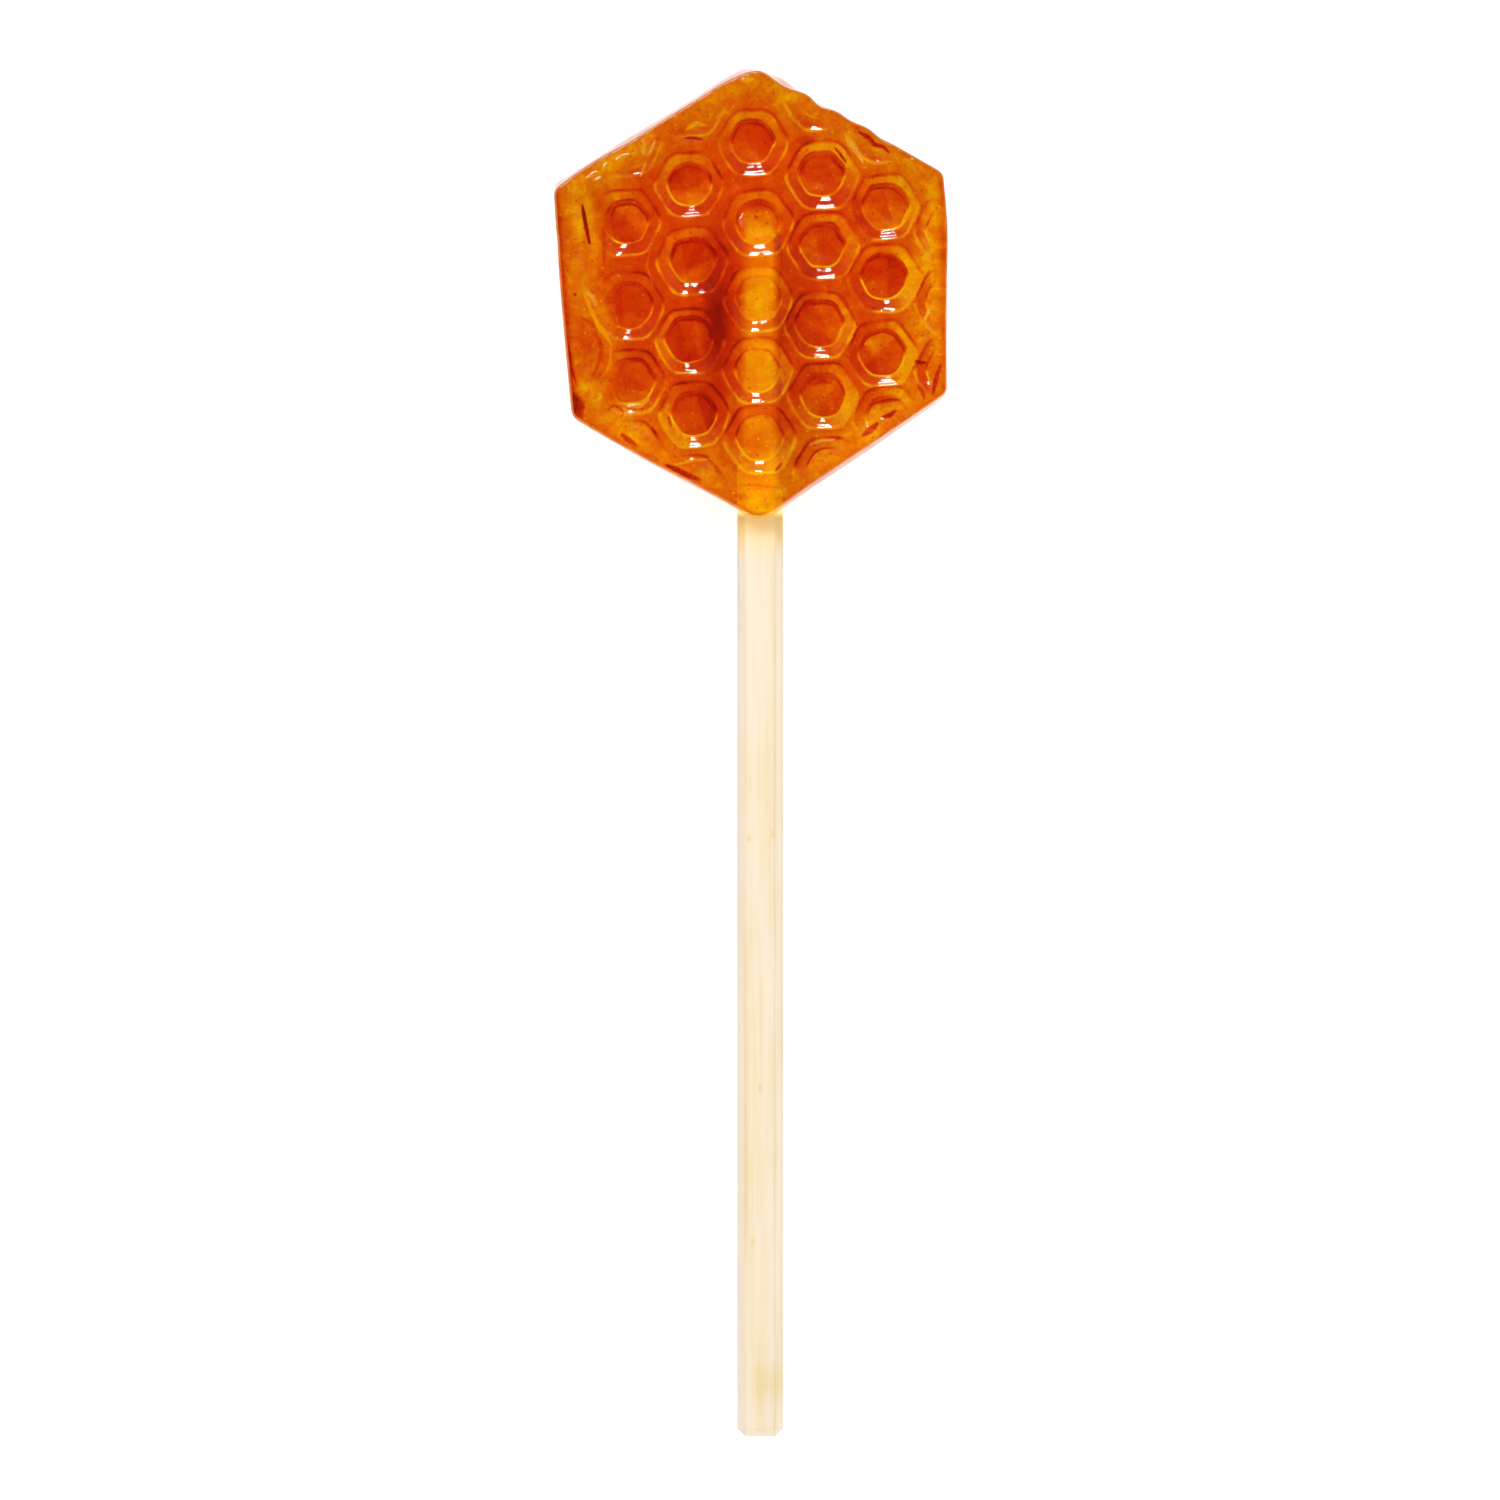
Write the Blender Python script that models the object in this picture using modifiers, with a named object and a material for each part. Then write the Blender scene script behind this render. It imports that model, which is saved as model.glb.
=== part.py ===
"""A honey lollipop lying on its back: a six-sided slab of clear honey candy on a square wooden stick.

The slab is a little wider at its back than at its face, as it comes out of a mould. Its face carries
a comb of shallow six-sided cells. A cell's wide wall goes down in two short slopes to a rounder floor,
and the cells at the sides are cut off by the plain border. The stick runs along Y, from the middle of
the candy to its free end. Millimetres come in through MM, and the scene is in metres, +Z up.
"""

import math
import random

import bmesh
import bpy
from mathutils import Vector

MM = 0.001

# Whole lollipop: the middle of its length and width is the origin, and the candy's back is at z = 0.
CANDY_CENTRE_Y = 43.08 * MM
CANDY_THICKNESS = 7.5 * MM
GAP = 0.3 * MM

# Corners of the candy's back, before they are rounded, from the candy's centre: top, upper right,
# lower right, bottom, lower left and upper left. The hexagon is the real one, a little uneven.
CORNERS = [
    (-0.15 * MM, 21.35 * MM),
    (18.40 * MM, 10.98 * MM),
    (18.40 * MM, -9.93 * MM),
    (0.83 * MM, -21.65 * MM),
    (-16.76 * MM, -12.03 * MM),
    (-18.35 * MM, 9.75 * MM),
]
BOTTOM_CORNER = 3
CORNER_RADIUS = 1.2 * MM
CORNER_STEPS = 6
SIDE_DRAFT = 0.4 * MM
FACE_ROUNDING = 0.8 * MM
BACK_ROUNDING = 0.5 * MM
ROUNDING_STEPS = 4
LEAST_CORNER = 0.25 * MM

# Small waves of the upper right side: place from the side's upper corner, height and half width.
WAVY_SIDE = 0
WAVES = [
    (4.9 * MM, 0.10 * MM, 0.9 * MM),
    (6.4 * MM, -0.28 * MM, 1.0 * MM),
    (8.1 * MM, 0.08 * MM, 0.9 * MM),
    (9.6 * MM, -0.06 * MM, 0.8 * MM),
    (11.3 * MM, 0.14 * MM, 1.0 * MM),
    (12.9 * MM, -0.10 * MM, 0.9 * MM),
]
WAVE_STEPS = 32

# Comb on the face: columns of cells, with odd columns set half a pitch higher.
CELL_PITCH = 7.0 * MM
COLUMN_PITCH = 6.0 * MM
COMB_SHIFT = (0.60 * MM, -0.65 * MM)
COLUMN_RISE = 0.59 * MM
ROW_LEAN = -0.09 * MM
COMB_BULGE = 0.11 * MM
COLUMNS = 3
CELL_SEED = 21
CELL_UNEVENNESS = 0.06 * MM
CELL_TURN = (1.0, 6.0)

# How far the real comb's cells sit from that pattern, by column and level.
CELL_NUDGES = {
    (-2, -1): (0.2 * MM, -0.2 * MM), (-2, 0): (0.0, -0.25 * MM), (-2, 1): (-0.2 * MM, 0.2 * MM),
    (-1, -1.5): (0.0, -0.2 * MM), (-1, -0.5): (-0.3 * MM, -0.25 * MM), (-1, 0.5): (0.0, 0.1 * MM),
    (-1, 1.5): (-0.2 * MM, -0.1 * MM), (0, -2): (0.1 * MM, 0.2 * MM), (0, -1): (0.0, -0.1 * MM),
    (0, 0): (0.1 * MM, -0.35 * MM), (0, 1): (0.2 * MM, -0.35 * MM), (0, 2): (-0.2 * MM, -0.2 * MM),
    (1, -1.5): (0.05 * MM, 0.05 * MM), (1, -0.5): (-0.15 * MM, -0.05 * MM),
    (1, 0.5): (0.25 * MM, 0.45 * MM), (1, 1.5): (0.25 * MM, -0.1 * MM),
    (2, -1): (-0.45 * MM, -0.35 * MM), (2, 0): (-0.1 * MM, 0.0), (2, 1): (0.0, -0.25 * MM),
}

# One cell: two slopes with a terrace between them, then a floor that sags a little in its middle.
CELL_HALF_WIDTH = 3.0 * MM
PLUG_CLEARANCE = 0.05 * MM
UPPER_WALL = 0.42 * MM
UPPER_DEPTH = 0.18 * MM
TERRACE_WIDTH = 0.22 * MM
TERRACE_FALL = 0.03 * MM
TERRACE_DRIFT = 0.5
LOWER_WALL = 0.32 * MM
FLOOR_DEPTH = 0.38 * MM
FLOOR_DISH = 0.06 * MM
DISH_SHARE = 0.45
CELL_SIDES = 18
OUTER_SHARPNESS = 12
INNER_SHARPNESS = 5
LEAST_CELL_REACH = 0.6 * MM

# Plain border round the comb, for the six sides in the corners' order, and its sloping inner wall.
BORDER_WIDTHS = [1.5 * MM, 1.4 * MM, 1.9 * MM, 2.0 * MM, 3.2 * MM, 1.6 * MM]
BORDER_WALL = 0.45
LIMIT_TOP = 0.9 * MM
LIMIT_DEPTH = 1.8 * MM

# Square stick with cut-off edges, laid in the slab below its middle.
STICK_WIDTH = 4.3 * MM
STICK_LENGTH = 114.3 * MM
STICK_EDGE = 0.78 * MM
STICK_EDGE_SOFTNESS = 0.16 * MM
STICK_END_EDGE = 0.25 * MM
STICK_X = 0.89 * MM
STICK_END_Y = -64.2 * MM
STICK_AXIS_Z = 3.45 * MM

CANDY_COLOUR = (0.72, 0.16, 0.005, 1.0)
CANDY_ROUGHNESS = 0.06
STICK_COLOUR = (0.90, 0.78, 0.55, 1.0)
STICK_ROUGHNESS = 0.65


def clear_scene():
    for item in list(bpy.data.objects):
        bpy.data.objects.remove(item, do_unlink=True)


def new_collection(name):
    collection = bpy.data.collections.new(name)
    bpy.context.scene.collection.children.link(collection)
    return collection


def new_material(name, colour, roughness):
    material = bpy.data.materials.new(name)
    material.use_nodes = True
    shader = material.node_tree.nodes["Principled BSDF"]
    shader.inputs["Base Color"].default_value = colour
    shader.inputs["Roughness"].default_value = roughness
    shader.inputs["Metallic"].default_value = 0.0
    material.diffuse_color = colour
    return material


def arc_at_corner(before, corner, after, radius, steps):
    """Points of the arc that rounds a corner, in the direction of travel."""
    to_before = (before - corner).normalized()
    to_after = (after - corner).normalized()
    half_angle = to_before.angle(to_after) / 2
    centre = corner + (to_before + to_after).normalized() * (radius / math.sin(half_angle))
    first = corner + to_before * (radius / math.tan(half_angle)) - centre
    last = corner + to_after * (radius / math.tan(half_angle)) - centre
    turn = first.angle_signed(last)
    points = []
    for step in range(steps + 1):
        angle = -turn * step / steps
        cos, sin = math.cos(angle), math.sin(angle)
        points.append(centre + Vector((first.x * cos - first.y * sin, first.x * sin + first.y * cos)))
    return points


def side_lines(corners):
    """A point, a direction and an inward normal for each side of a polygon that runs clockwise."""
    lines = []
    for index, corner in enumerate(corners):
        along = (corners[(index + 1) % len(corners)] - corner).normalized()
        lines.append((corner, along, Vector((along.y, -along.x))))
    return lines


def inset_corners(corners, widths):
    """The polygon's corners after each side has moved inward by its own width."""
    moved = [(point + normal * width, along)
             for (point, along, normal), width in zip(side_lines(corners), widths)]
    crossings = []
    for index, (point, along) in enumerate(moved):
        earlier_point, earlier_along = moved[index - 1]
        offset = point - earlier_point
        reach = (offset.x * along.y - offset.y * along.x) / (
            earlier_along.x * along.y - earlier_along.y * along.x)
        crossings.append(earlier_point + earlier_along * reach)
    return crossings


def wave(distance):
    """Height of the waves at a distance along the wavy side."""
    return sum(height * math.exp(-(((distance - place) / width) ** 2)) for place, height, width in WAVES)


def candy_outline(inset):
    """The slab's outline, clockwise, as far inside its back as inset says."""
    corners = inset_corners([Vector(corner) for corner in CORNERS], [inset] * len(CORNERS))
    radius = max(CORNER_RADIUS - inset, LEAST_CORNER)
    points = []
    for index, corner in enumerate(corners):
        following = corners[(index + 1) % len(corners)]
        arc = arc_at_corner(corners[index - 1], corner, following, radius, CORNER_STEPS)
        points.extend(arc)
        if index != WAVY_SIDE:
            continue
        after = corners[(index + 2) % len(corners)]
        start = arc[-1]
        end = arc_at_corner(corner, following, after, radius, CORNER_STEPS)[0]
        along = end - start
        outward = Vector((-along.y, along.x)).normalized()
        for step in range(1, WAVE_STEPS):
            distance = along.length * step / WAVE_STEPS
            points.append(start + along * (step / WAVE_STEPS) + outward * wave(distance))
    return points


def loft(name, rings, collection):
    """A closed solid through rings of equally many points, with flat ends, faces outward."""
    mesh = bmesh.new()
    rows = [[mesh.verts.new(point) for point in ring] for ring in rings]
    count = len(rows[0])
    for lower, upper in zip(rows, rows[1:]):
        for index in range(count):
            after = (index + 1) % count
            mesh.faces.new((lower[index], lower[after], upper[after], upper[index]))
    mesh.faces.new(rows[0])
    mesh.faces.new(rows[-1])
    bmesh.ops.recalc_face_normals(mesh, faces=mesh.faces)
    data = bpy.data.meshes.new(name)
    mesh.to_mesh(data)
    mesh.free()
    solid = bpy.data.objects.new(name, data)
    collection.objects.link(solid)
    return solid


def slab_profile():
    """Heights and insets of the slab's side, from its back to its face."""
    steps = []
    for step in range(ROUNDING_STEPS + 1):
        angle = math.pi / 2 * step / ROUNDING_STEPS
        steps.append((BACK_ROUNDING * (1 - math.sin(math.pi / 2 - angle)),
                      BACK_ROUNDING * (1 - math.sin(angle))))
    for step in range(ROUNDING_STEPS + 1):
        angle = math.pi / 2 * step / ROUNDING_STEPS
        steps.append((CANDY_THICKNESS - FACE_ROUNDING * (1 - math.sin(angle)),
                      SIDE_DRAFT + FACE_ROUNDING * (1 - math.cos(angle))))
    return steps


def make_slab(collection):
    rings = []
    for height, inset in slab_profile():
        rings.append([(point.x, point.y + CANDY_CENTRE_Y, height) for point in candy_outline(inset)])
    return loft("candy", rings, collection)


def cell_radius(half_width, sharpness, angle):
    """Radius of a rounded hexagon with flats at its top and bottom. Sharpness 2 gives a circle."""
    total = 0.0
    for flat in (30, 90, 150):
        total += abs(math.cos(angle - math.radians(flat))) ** sharpness
    at_flat = 1.0 + 2 * math.cos(math.radians(60)) ** sharpness
    return half_width * (at_flat / total) ** (1 / sharpness)


def cell_centres():
    """Places of the comb's cells, from the candy's centre."""
    places = []
    for column in range(-COLUMNS, COLUMNS + 1):
        half = 0.5 * (column % 2)
        for row in range(-COLUMNS - 1, COLUMNS + 2):
            level = row + half
            x = COMB_SHIFT[0] + COLUMN_PITCH * column + ROW_LEAN * level
            y = COMB_SHIFT[1] + COLUMN_RISE * column + CELL_PITCH * level
            y += COMB_BULGE * (column ** 2 + level ** 2 - column * level)
            places.append(Vector((x, y)) + Vector(CELL_NUDGES.get((column, level), (0.0, 0.0))))
    return places


def inside_by(point, corners):
    """Distance from a point to the nearest side of the polygon, negative outside it."""
    return min((point - corner).dot(normal) for corner, along, normal in side_lines(corners))


def cell_plug(name, centre, draw, collection):
    """The stepped plug that presses one cell. It stands out of the face by the clearance."""
    half_width = CELL_HALF_WIDTH + draw.uniform(-1, 1) * CELL_UNEVENNESS
    turn = math.radians(draw.uniform(*CELL_TURN))
    lean = Vector((draw.uniform(-1, 1), draw.uniform(-1, 1))) * CELL_UNEVENNESS
    terrace_end = half_width - UPPER_WALL - TERRACE_WIDTH
    floor_edge = terrace_end - LOWER_WALL
    slope = UPPER_WALL / UPPER_DEPTH
    levels = [
        (PLUG_CLEARANCE, half_width + PLUG_CLEARANCE * slope, OUTER_SHARPNESS, 0.0),
        (-UPPER_DEPTH, half_width - UPPER_WALL, OUTER_SHARPNESS, 0.0),
        (-UPPER_DEPTH - TERRACE_FALL, terrace_end, INNER_SHARPNESS, TERRACE_DRIFT),
        (-FLOOR_DEPTH, floor_edge, INNER_SHARPNESS, 1.0),
        (-FLOOR_DEPTH - FLOOR_DISH, floor_edge * DISH_SHARE, INNER_SHARPNESS, 1.0),
    ]
    rings = []
    for height, size, sharpness, drift in levels:
        ring = []
        for side in range(CELL_SIDES):
            angle = 2 * math.pi * side / CELL_SIDES
            radius = cell_radius(size, sharpness, angle)
            ring.append((
                centre.x + lean.x * drift + radius * math.cos(angle + turn),
                centre.y + lean.y * drift + radius * math.sin(angle + turn) + CANDY_CENTRE_Y,
                CANDY_THICKNESS + height,
            ))
        rings.append(ring)
    return loft(name, rings, collection)


def make_comb_cutter(collection):
    """All plugs joined into one cutter and cut off at the border."""
    border = inset_corners([Vector(corner) for corner in CORNERS], BORDER_WIDTHS)
    draw = random.Random(CELL_SEED)
    plugs = []
    for index, centre in enumerate(cell_centres()):
        if inside_by(centre, border) < LEAST_CELL_REACH - CELL_HALF_WIDTH:
            continue
        plugs.append(cell_plug(f"cell_{index}", centre, draw, collection))
    mesh = bmesh.new()
    for plug in plugs:
        mesh.from_mesh(plug.data)
        bpy.data.objects.remove(plug, do_unlink=True)
    data = bpy.data.meshes.new("comb_cutter")
    mesh.to_mesh(data)
    mesh.free()
    comb = bpy.data.objects.new("comb_cutter", data)
    collection.objects.link(comb)
    rings = []
    for height in (-LIMIT_DEPTH, LIMIT_TOP):
        corners = inset_corners(border, [-BORDER_WALL * height] * len(border))
        rings.append([(point.x, point.y + CANDY_CENTRE_Y, CANDY_THICKNESS + height)
                      for index, corner in enumerate(corners)
                      for point in arc_at_corner(corners[index - 1], corner,
                                                 corners[(index + 1) % len(corners)],
                                                 CORNER_RADIUS, CORNER_STEPS)])
    limit = loft("comb_limit", rings, collection)
    add_boolean(comb, limit, "INTERSECT")
    return comb


def bar_ring(half, cut, y):
    """Eight-sided section of a square bar with cut-off edges, in the plane at y."""
    flat = half - cut
    pairs = [(flat, -half), (half, -flat), (half, flat), (flat, half),
             (-flat, half), (-half, flat), (-half, -flat), (-flat, -half)]
    return [(STICK_X + x, y, STICK_AXIS_Z + z) for x, z in pairs]


def make_stick(collection):
    half = STICK_WIDTH / 2
    far = STICK_END_Y + STICK_LENGTH
    end = STICK_END_EDGE
    rings = [
        bar_ring(half - end, STICK_EDGE - end / 2, STICK_END_Y),
        bar_ring(half, STICK_EDGE, STICK_END_Y + end),
        bar_ring(half, STICK_EDGE, far - end),
        bar_ring(half - end, STICK_EDGE - end / 2, far),
    ]
    stick = loft("stick", rings, collection)
    soften = stick.modifiers.new("softened edges", "BEVEL")
    soften.width = STICK_EDGE_SOFTNESS
    soften.segments = 2
    soften.limit_method = "ANGLE"
    soften.angle_limit = math.radians(20)
    return stick


def make_channel(collection):
    """The space the stick takes in the candy, with the gap all round, open at its mouth."""
    half = STICK_WIDTH / 2 + GAP
    far = STICK_END_Y + STICK_LENGTH + GAP
    mouth = CANDY_CENTRE_Y + CORNERS[BOTTOM_CORNER][1] - STICK_WIDTH
    return loft("channel", [bar_ring(half, STICK_EDGE, mouth), bar_ring(half, STICK_EDGE, far)],
                collection)


def add_boolean(target, tool, operation):
    modifier = target.modifiers.new(tool.name, "BOOLEAN")
    modifier.operation = operation
    modifier.object = tool
    modifier.solver = "EXACT"


def hide_cutter(cutter):
    cutter.hide_render = True
    cutter.display_type = "WIRE"


def main():
    clear_scene()
    parts = new_collection("honey_lollipop")
    cutters = new_collection("cutters")

    candy = make_slab(parts)
    comb = make_comb_cutter(cutters)
    channel = make_channel(cutters)
    add_boolean(candy, comb, "DIFFERENCE")
    add_boolean(candy, channel, "DIFFERENCE")
    candy.data.materials.append(new_material("honey candy", CANDY_COLOUR, CANDY_ROUGHNESS))

    stick = make_stick(parts)
    stick.data.materials.append(new_material("pale wood", STICK_COLOUR, STICK_ROUGHNESS))

    for cutter in cutters.objects:
        hide_cutter(cutter)


main()
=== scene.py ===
# %% [markdown]
# # A honey lollipop
# The real sweet is clear amber sugar, poured hot into a six-sided mould with a square birch stick laid
# in it, and pressed with a comb of cells. It lies on its back on white paper.
# The solids that carry it come from the frame, and every piece below is made in their place, in metres.

# %% Load the frame
import math
import random

import bmesh
import bpy
import numpy as np
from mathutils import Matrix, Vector


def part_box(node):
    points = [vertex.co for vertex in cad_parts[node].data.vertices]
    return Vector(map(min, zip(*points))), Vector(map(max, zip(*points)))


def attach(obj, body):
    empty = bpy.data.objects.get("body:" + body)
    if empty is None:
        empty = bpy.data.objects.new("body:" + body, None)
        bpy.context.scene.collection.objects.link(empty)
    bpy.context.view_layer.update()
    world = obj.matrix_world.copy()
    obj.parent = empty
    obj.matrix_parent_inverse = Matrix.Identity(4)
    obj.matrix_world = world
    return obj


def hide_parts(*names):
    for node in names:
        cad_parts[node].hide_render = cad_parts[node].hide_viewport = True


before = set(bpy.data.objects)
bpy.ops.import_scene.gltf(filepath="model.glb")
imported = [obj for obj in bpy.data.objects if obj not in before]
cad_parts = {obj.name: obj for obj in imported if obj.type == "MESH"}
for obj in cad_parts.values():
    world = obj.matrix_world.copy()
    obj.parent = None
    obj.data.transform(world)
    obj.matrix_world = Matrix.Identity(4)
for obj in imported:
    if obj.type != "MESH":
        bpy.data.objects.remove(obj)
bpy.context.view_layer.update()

MM = 0.001
candy_low, candy_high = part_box("candy")
stick_low, stick_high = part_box("stick")


def enter(mode):
    bpy.ops.object.mode_set(mode=mode)


def deselect():
    """Leaves object mode with nothing selected, so that the next operator acts on its own piece only."""
    if bpy.context.object and bpy.context.object.mode != "OBJECT":
        enter("OBJECT")
    bpy.ops.object.select_all(action="DESELECT")


def select_only(piece):
    deselect()
    piece.select_set(True)
    bpy.context.view_layer.objects.active = piece


# %% [markdown]
# ## The slab's outline
# The hexagon of the real sweet is a little uneven. Six corner points carry it, and everything else
# follows: an outline further in is the same hexagon with each side moved by its own width, and its
# corners rounded by an arc. Points are spread evenly along each side, so that outlines at different
# heights join into clean strips.

# %% Corners, sides and outlines
CANDY_CENTRE = Vector((0.0, 43.08)) * MM
CORNERS = [Vector(place) * MM for place in (
    (-0.22, 21.42), (18.10, 10.98), (18.40, -9.93), (0.83, -21.65), (-16.76, -12.03), (-18.50, 9.84))]
# How round each corner is, as a share of the usual radius
CORNER_SHARES = [1.5, 1.0, 1.0, 2.6, 1.1, 0.9]
SIDES = len(CORNERS)
THICKNESS = candy_high.z
WAVE_EASE = 2 * MM
# Waves in a side, in millimetres: spot along it, width, height at the face and height on the wall
WAVES = {
    0: [(2.4, 1.5, -0.30, 0), (2.6, 1.2, 0, 0.12), (4.9, 0.9, 0.10, -0.12), (6.4, 1, -0.28, -0.12),
        (8.1, 0.9, 0.08, 0), (9.6, 0.8, -0.06, 0), (11.3, 1, 0.14, 0), (12.9, 0.9, -0.10, 0)],
    1: [(5, 4, 0.28, 0.28), (11, 4, 0.08, 0.08)],
    2: [(10, 7, 0.05, 0.14)],
    3: [(10.5, 6, 0.15, 0.18), (5.5, 0.9, -0.06, 0)],
    4: [(11, 8, 0.12, 0.12), (15.5, 1, -0.05, 0)],
    5: [(3.5, 3.5, 0.20, 0), (8, 1.5, -0.06, 0), (12, 1.2, 0.05, 0), (15, 6, -0.05, -0.18)]}


def inset_corners(widths):
    """The hexagon's corners after each side has moved inward by its own width."""
    moved = []
    for side in range(SIDES):
        along = (CORNERS[(side + 1) % SIDES] - CORNERS[side]).normalized()
        inward = Vector((along.y, -along.x))
        moved.append((CORNERS[side] + inward * widths[side], along))
    crossings = []
    for side in range(SIDES):
        point, along = moved[side]
        before, before_along = moved[side - 1]
        offset = point - before
        reach = offset.cross(along) / before_along.cross(along)
        crossings.append(before + before_along * reach)
    return crossings


def outline_side(corners, side, radius, fractions, up):
    """Points along one side, from the middle of its first corner's arc to the middle of the next one's.

    Up is 1 at the face and 0 on the wall below its shoulder.
    """
    first, last = corners[side], corners[(side + 1) % SIDES]
    before, after = corners[side - 1], corners[(side + 2) % SIDES]
    along = (last - first).normalized()
    outward = Vector((-along.y, along.x))
    start_turn = (first - before).angle_signed(last - first)
    end_turn = (last - first).angle_signed(after - last)
    start_radius = radius * CORNER_SHARES[side]
    end_radius = radius * CORNER_SHARES[(side + 1) % SIDES]
    start_cut = start_radius * math.tan(start_turn / 2)
    end_cut = end_radius * math.tan(end_turn / 2)
    start_arc, end_arc = start_radius * start_turn / 2, end_radius * end_turn / 2
    straight = (last - first).length - start_cut - end_cut
    total = start_arc + straight + end_arc
    points = []
    for fraction in fractions:
        place = fraction * total
        if place < start_arc:
            angle = (start_arc - place) / start_radius
            flat, height = start_cut - start_radius * math.sin(angle), -start_radius * (1 - math.cos(angle))
        elif place > start_arc + straight:
            angle = (place - start_arc - straight) / end_radius
            flat = start_cut + straight + end_radius * math.sin(angle)
            height = -end_radius * (1 - math.cos(angle))
        else:
            flat, height = start_cut + place - start_arc, 0.0
        ease = min(place, total - place, WAVE_EASE) / WAVE_EASE
        for spot, width, at_face, on_wall in WAVES.get(side, []):
            beside = (flat - start_cut) / MM - spot
            height += MM * ease * (on_wall + (at_face - on_wall) * up) * math.exp(-((beside / width) ** 2))
        points.append(first + along * flat + outward * height)
    return points


print("sides:", [round((CORNERS[side] - CORNERS[side - 1]).length / MM, 1) for side in range(SIDES)], "mm")

# %% [markdown]
# ## The candy's mesh
# The pressed face needs a mesh fine enough for soft, clear lenses: a six-sided fan, subdivided in edit
# mode into even small triangles, whose rim is then extruded ring by ring down the side. The back is a
# second fan, half as fine, bridged to the last ring. A height rule for the whole face then presses the
# comb, which keeps the steps between cells smooth, where a Boolean would leave long thin faces that
# break up every reflection.

# %% A fan of small triangles
FACE_CUTS = (7, 15)
BACK_CUTS = (7, 7)
AT_RIM = 1 - 1e-4


def six_sided_fan(name, cuts):
    """A unit hexagon of small triangles, with a corner on +Y."""
    deselect()
    bpy.ops.mesh.primitive_circle_add(vertices=SIDES, radius=1.0, fill_type="TRIFAN")
    fan = bpy.context.object
    fan.name = name
    enter("EDIT")
    bpy.ops.mesh.select_all(action="SELECT")
    for count in cuts:
        bpy.ops.mesh.subdivide(number_cuts=count)
    enter("OBJECT")
    return fan


def read_points(mesh):
    points = np.empty(len(mesh.vertices) * 3)
    mesh.vertices.foreach_get("co", points)
    return points.reshape(-1, 3)


def write_points(mesh, points):
    mesh.vertices.foreach_set("co", np.asarray(points, float).ravel())
    mesh.update()


def chosen_points(mesh):
    """All points of a mesh, and which of them are selected."""
    points = read_points(mesh)
    chosen = np.empty(len(points), bool)
    mesh.vertices.foreach_get("select", chosen)
    return points, chosen


def fan_places(points):
    """Side, share of the way along it and share of the way out, of points on a unit hexagon."""
    angle = np.degrees(np.arctan2(points[:, 0], points[:, 1])) % 360
    side = np.floor(angle / 60 + 1e-6).astype(int) % SIDES
    first = np.radians(60.0 * side)
    a = np.stack([np.sin(first), np.cos(first)], 1)
    b = np.stack([np.sin(first + math.pi / 3), np.cos(first + math.pi / 3)], 1)
    det = a[:, 0] * b[:, 1] - a[:, 1] * b[:, 0]
    to_a = (points[:, 0] * b[:, 1] - points[:, 1] * b[:, 0]) / det
    to_b = (a[:, 0] * points[:, 1] - a[:, 1] * points[:, 0]) / det
    out = to_a + to_b
    along = np.where(out > 1e-9, to_b / np.maximum(out, 1e-9), 0.0)
    return side, np.clip(along, 0, 1), out


# %% Where the side's rings belong
# How far each side leans in above SLOPE_FOOT, a share of the thickness, and how wide its shoulder is
SLOPES = [lean * MM for lean in (0.18, 0.06, 0.18, 0.06, 0.06, 0.52)]
SHOULDERS = [width * MM for width in (0.26, 0.22, 0.26, 0.30, 0.30, 0.40)]
SLOPE_FOOT = 0.70
SLOPE_TOP = 0.92
SLOPE_CURVE = 1.2
FOOT_HEIGHT = 0.25 * MM
WALL_SHARES = (0.93, 0.86, 0.79, 0.72, 0.5, 0.25, 0.0)
SHOULDER_DROP = 0.4 * MM
SHOULDER_RINGS = 7
CORNER_RADIUS = 1.2 * MM
RADIUS_LOSS = 0.4 * MM
LEAST_RADIUS = 0.3 * MM


def ring_points(side, along, insets, radius, height):
    """Where rim vertices with these sides and shares belong, for one outline at one height."""
    corners = inset_corners(insets)
    placed = np.empty((len(side), 3))
    placed[:, 2] = height
    for index in range(SIDES):
        chosen = np.flatnonzero(side == index)
        up = min(max((height / THICKNESS - SLOPE_FOOT) / (SLOPE_TOP - SLOPE_FOOT), 0), 1)
        spots = outline_side(corners, index, radius, along[chosen], up)
        placed[chosen, :2] = [(spot + CANDY_CENTRE)[:] for spot in spots]
    return placed


def lay_fan(fan, insets, radius, height, blend_from):
    """Moves a unit fan into the hexagon with these insets. Its outer rows ease into the rounded rim."""
    points = read_points(fan.data)
    side, along, out = fan_places(points)
    corners = np.array([corner[:] for corner in inset_corners(insets)])
    near = (1 - along)[:, None] * corners[side] + along[:, None] * corners[(side + 1) % SIDES]
    placed = np.empty((len(points), 3))
    placed[:, :2] = out[:, None] * near + np.array(CANDY_CENTRE[:])
    placed[:, 2] = height
    rim = ring_points(side, along, insets, radius, height)
    share = np.clip((out - blend_from) / (1 - blend_from), 0, 1)[:, None]
    share = share * share * (3 - 2 * share)
    centre = np.array([CANDY_CENTRE.x, CANDY_CENTRE.y, height])
    placed = placed + share * (centre + (rim - centre) * out[:, None] - placed)
    write_points(fan.data, placed)


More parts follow.
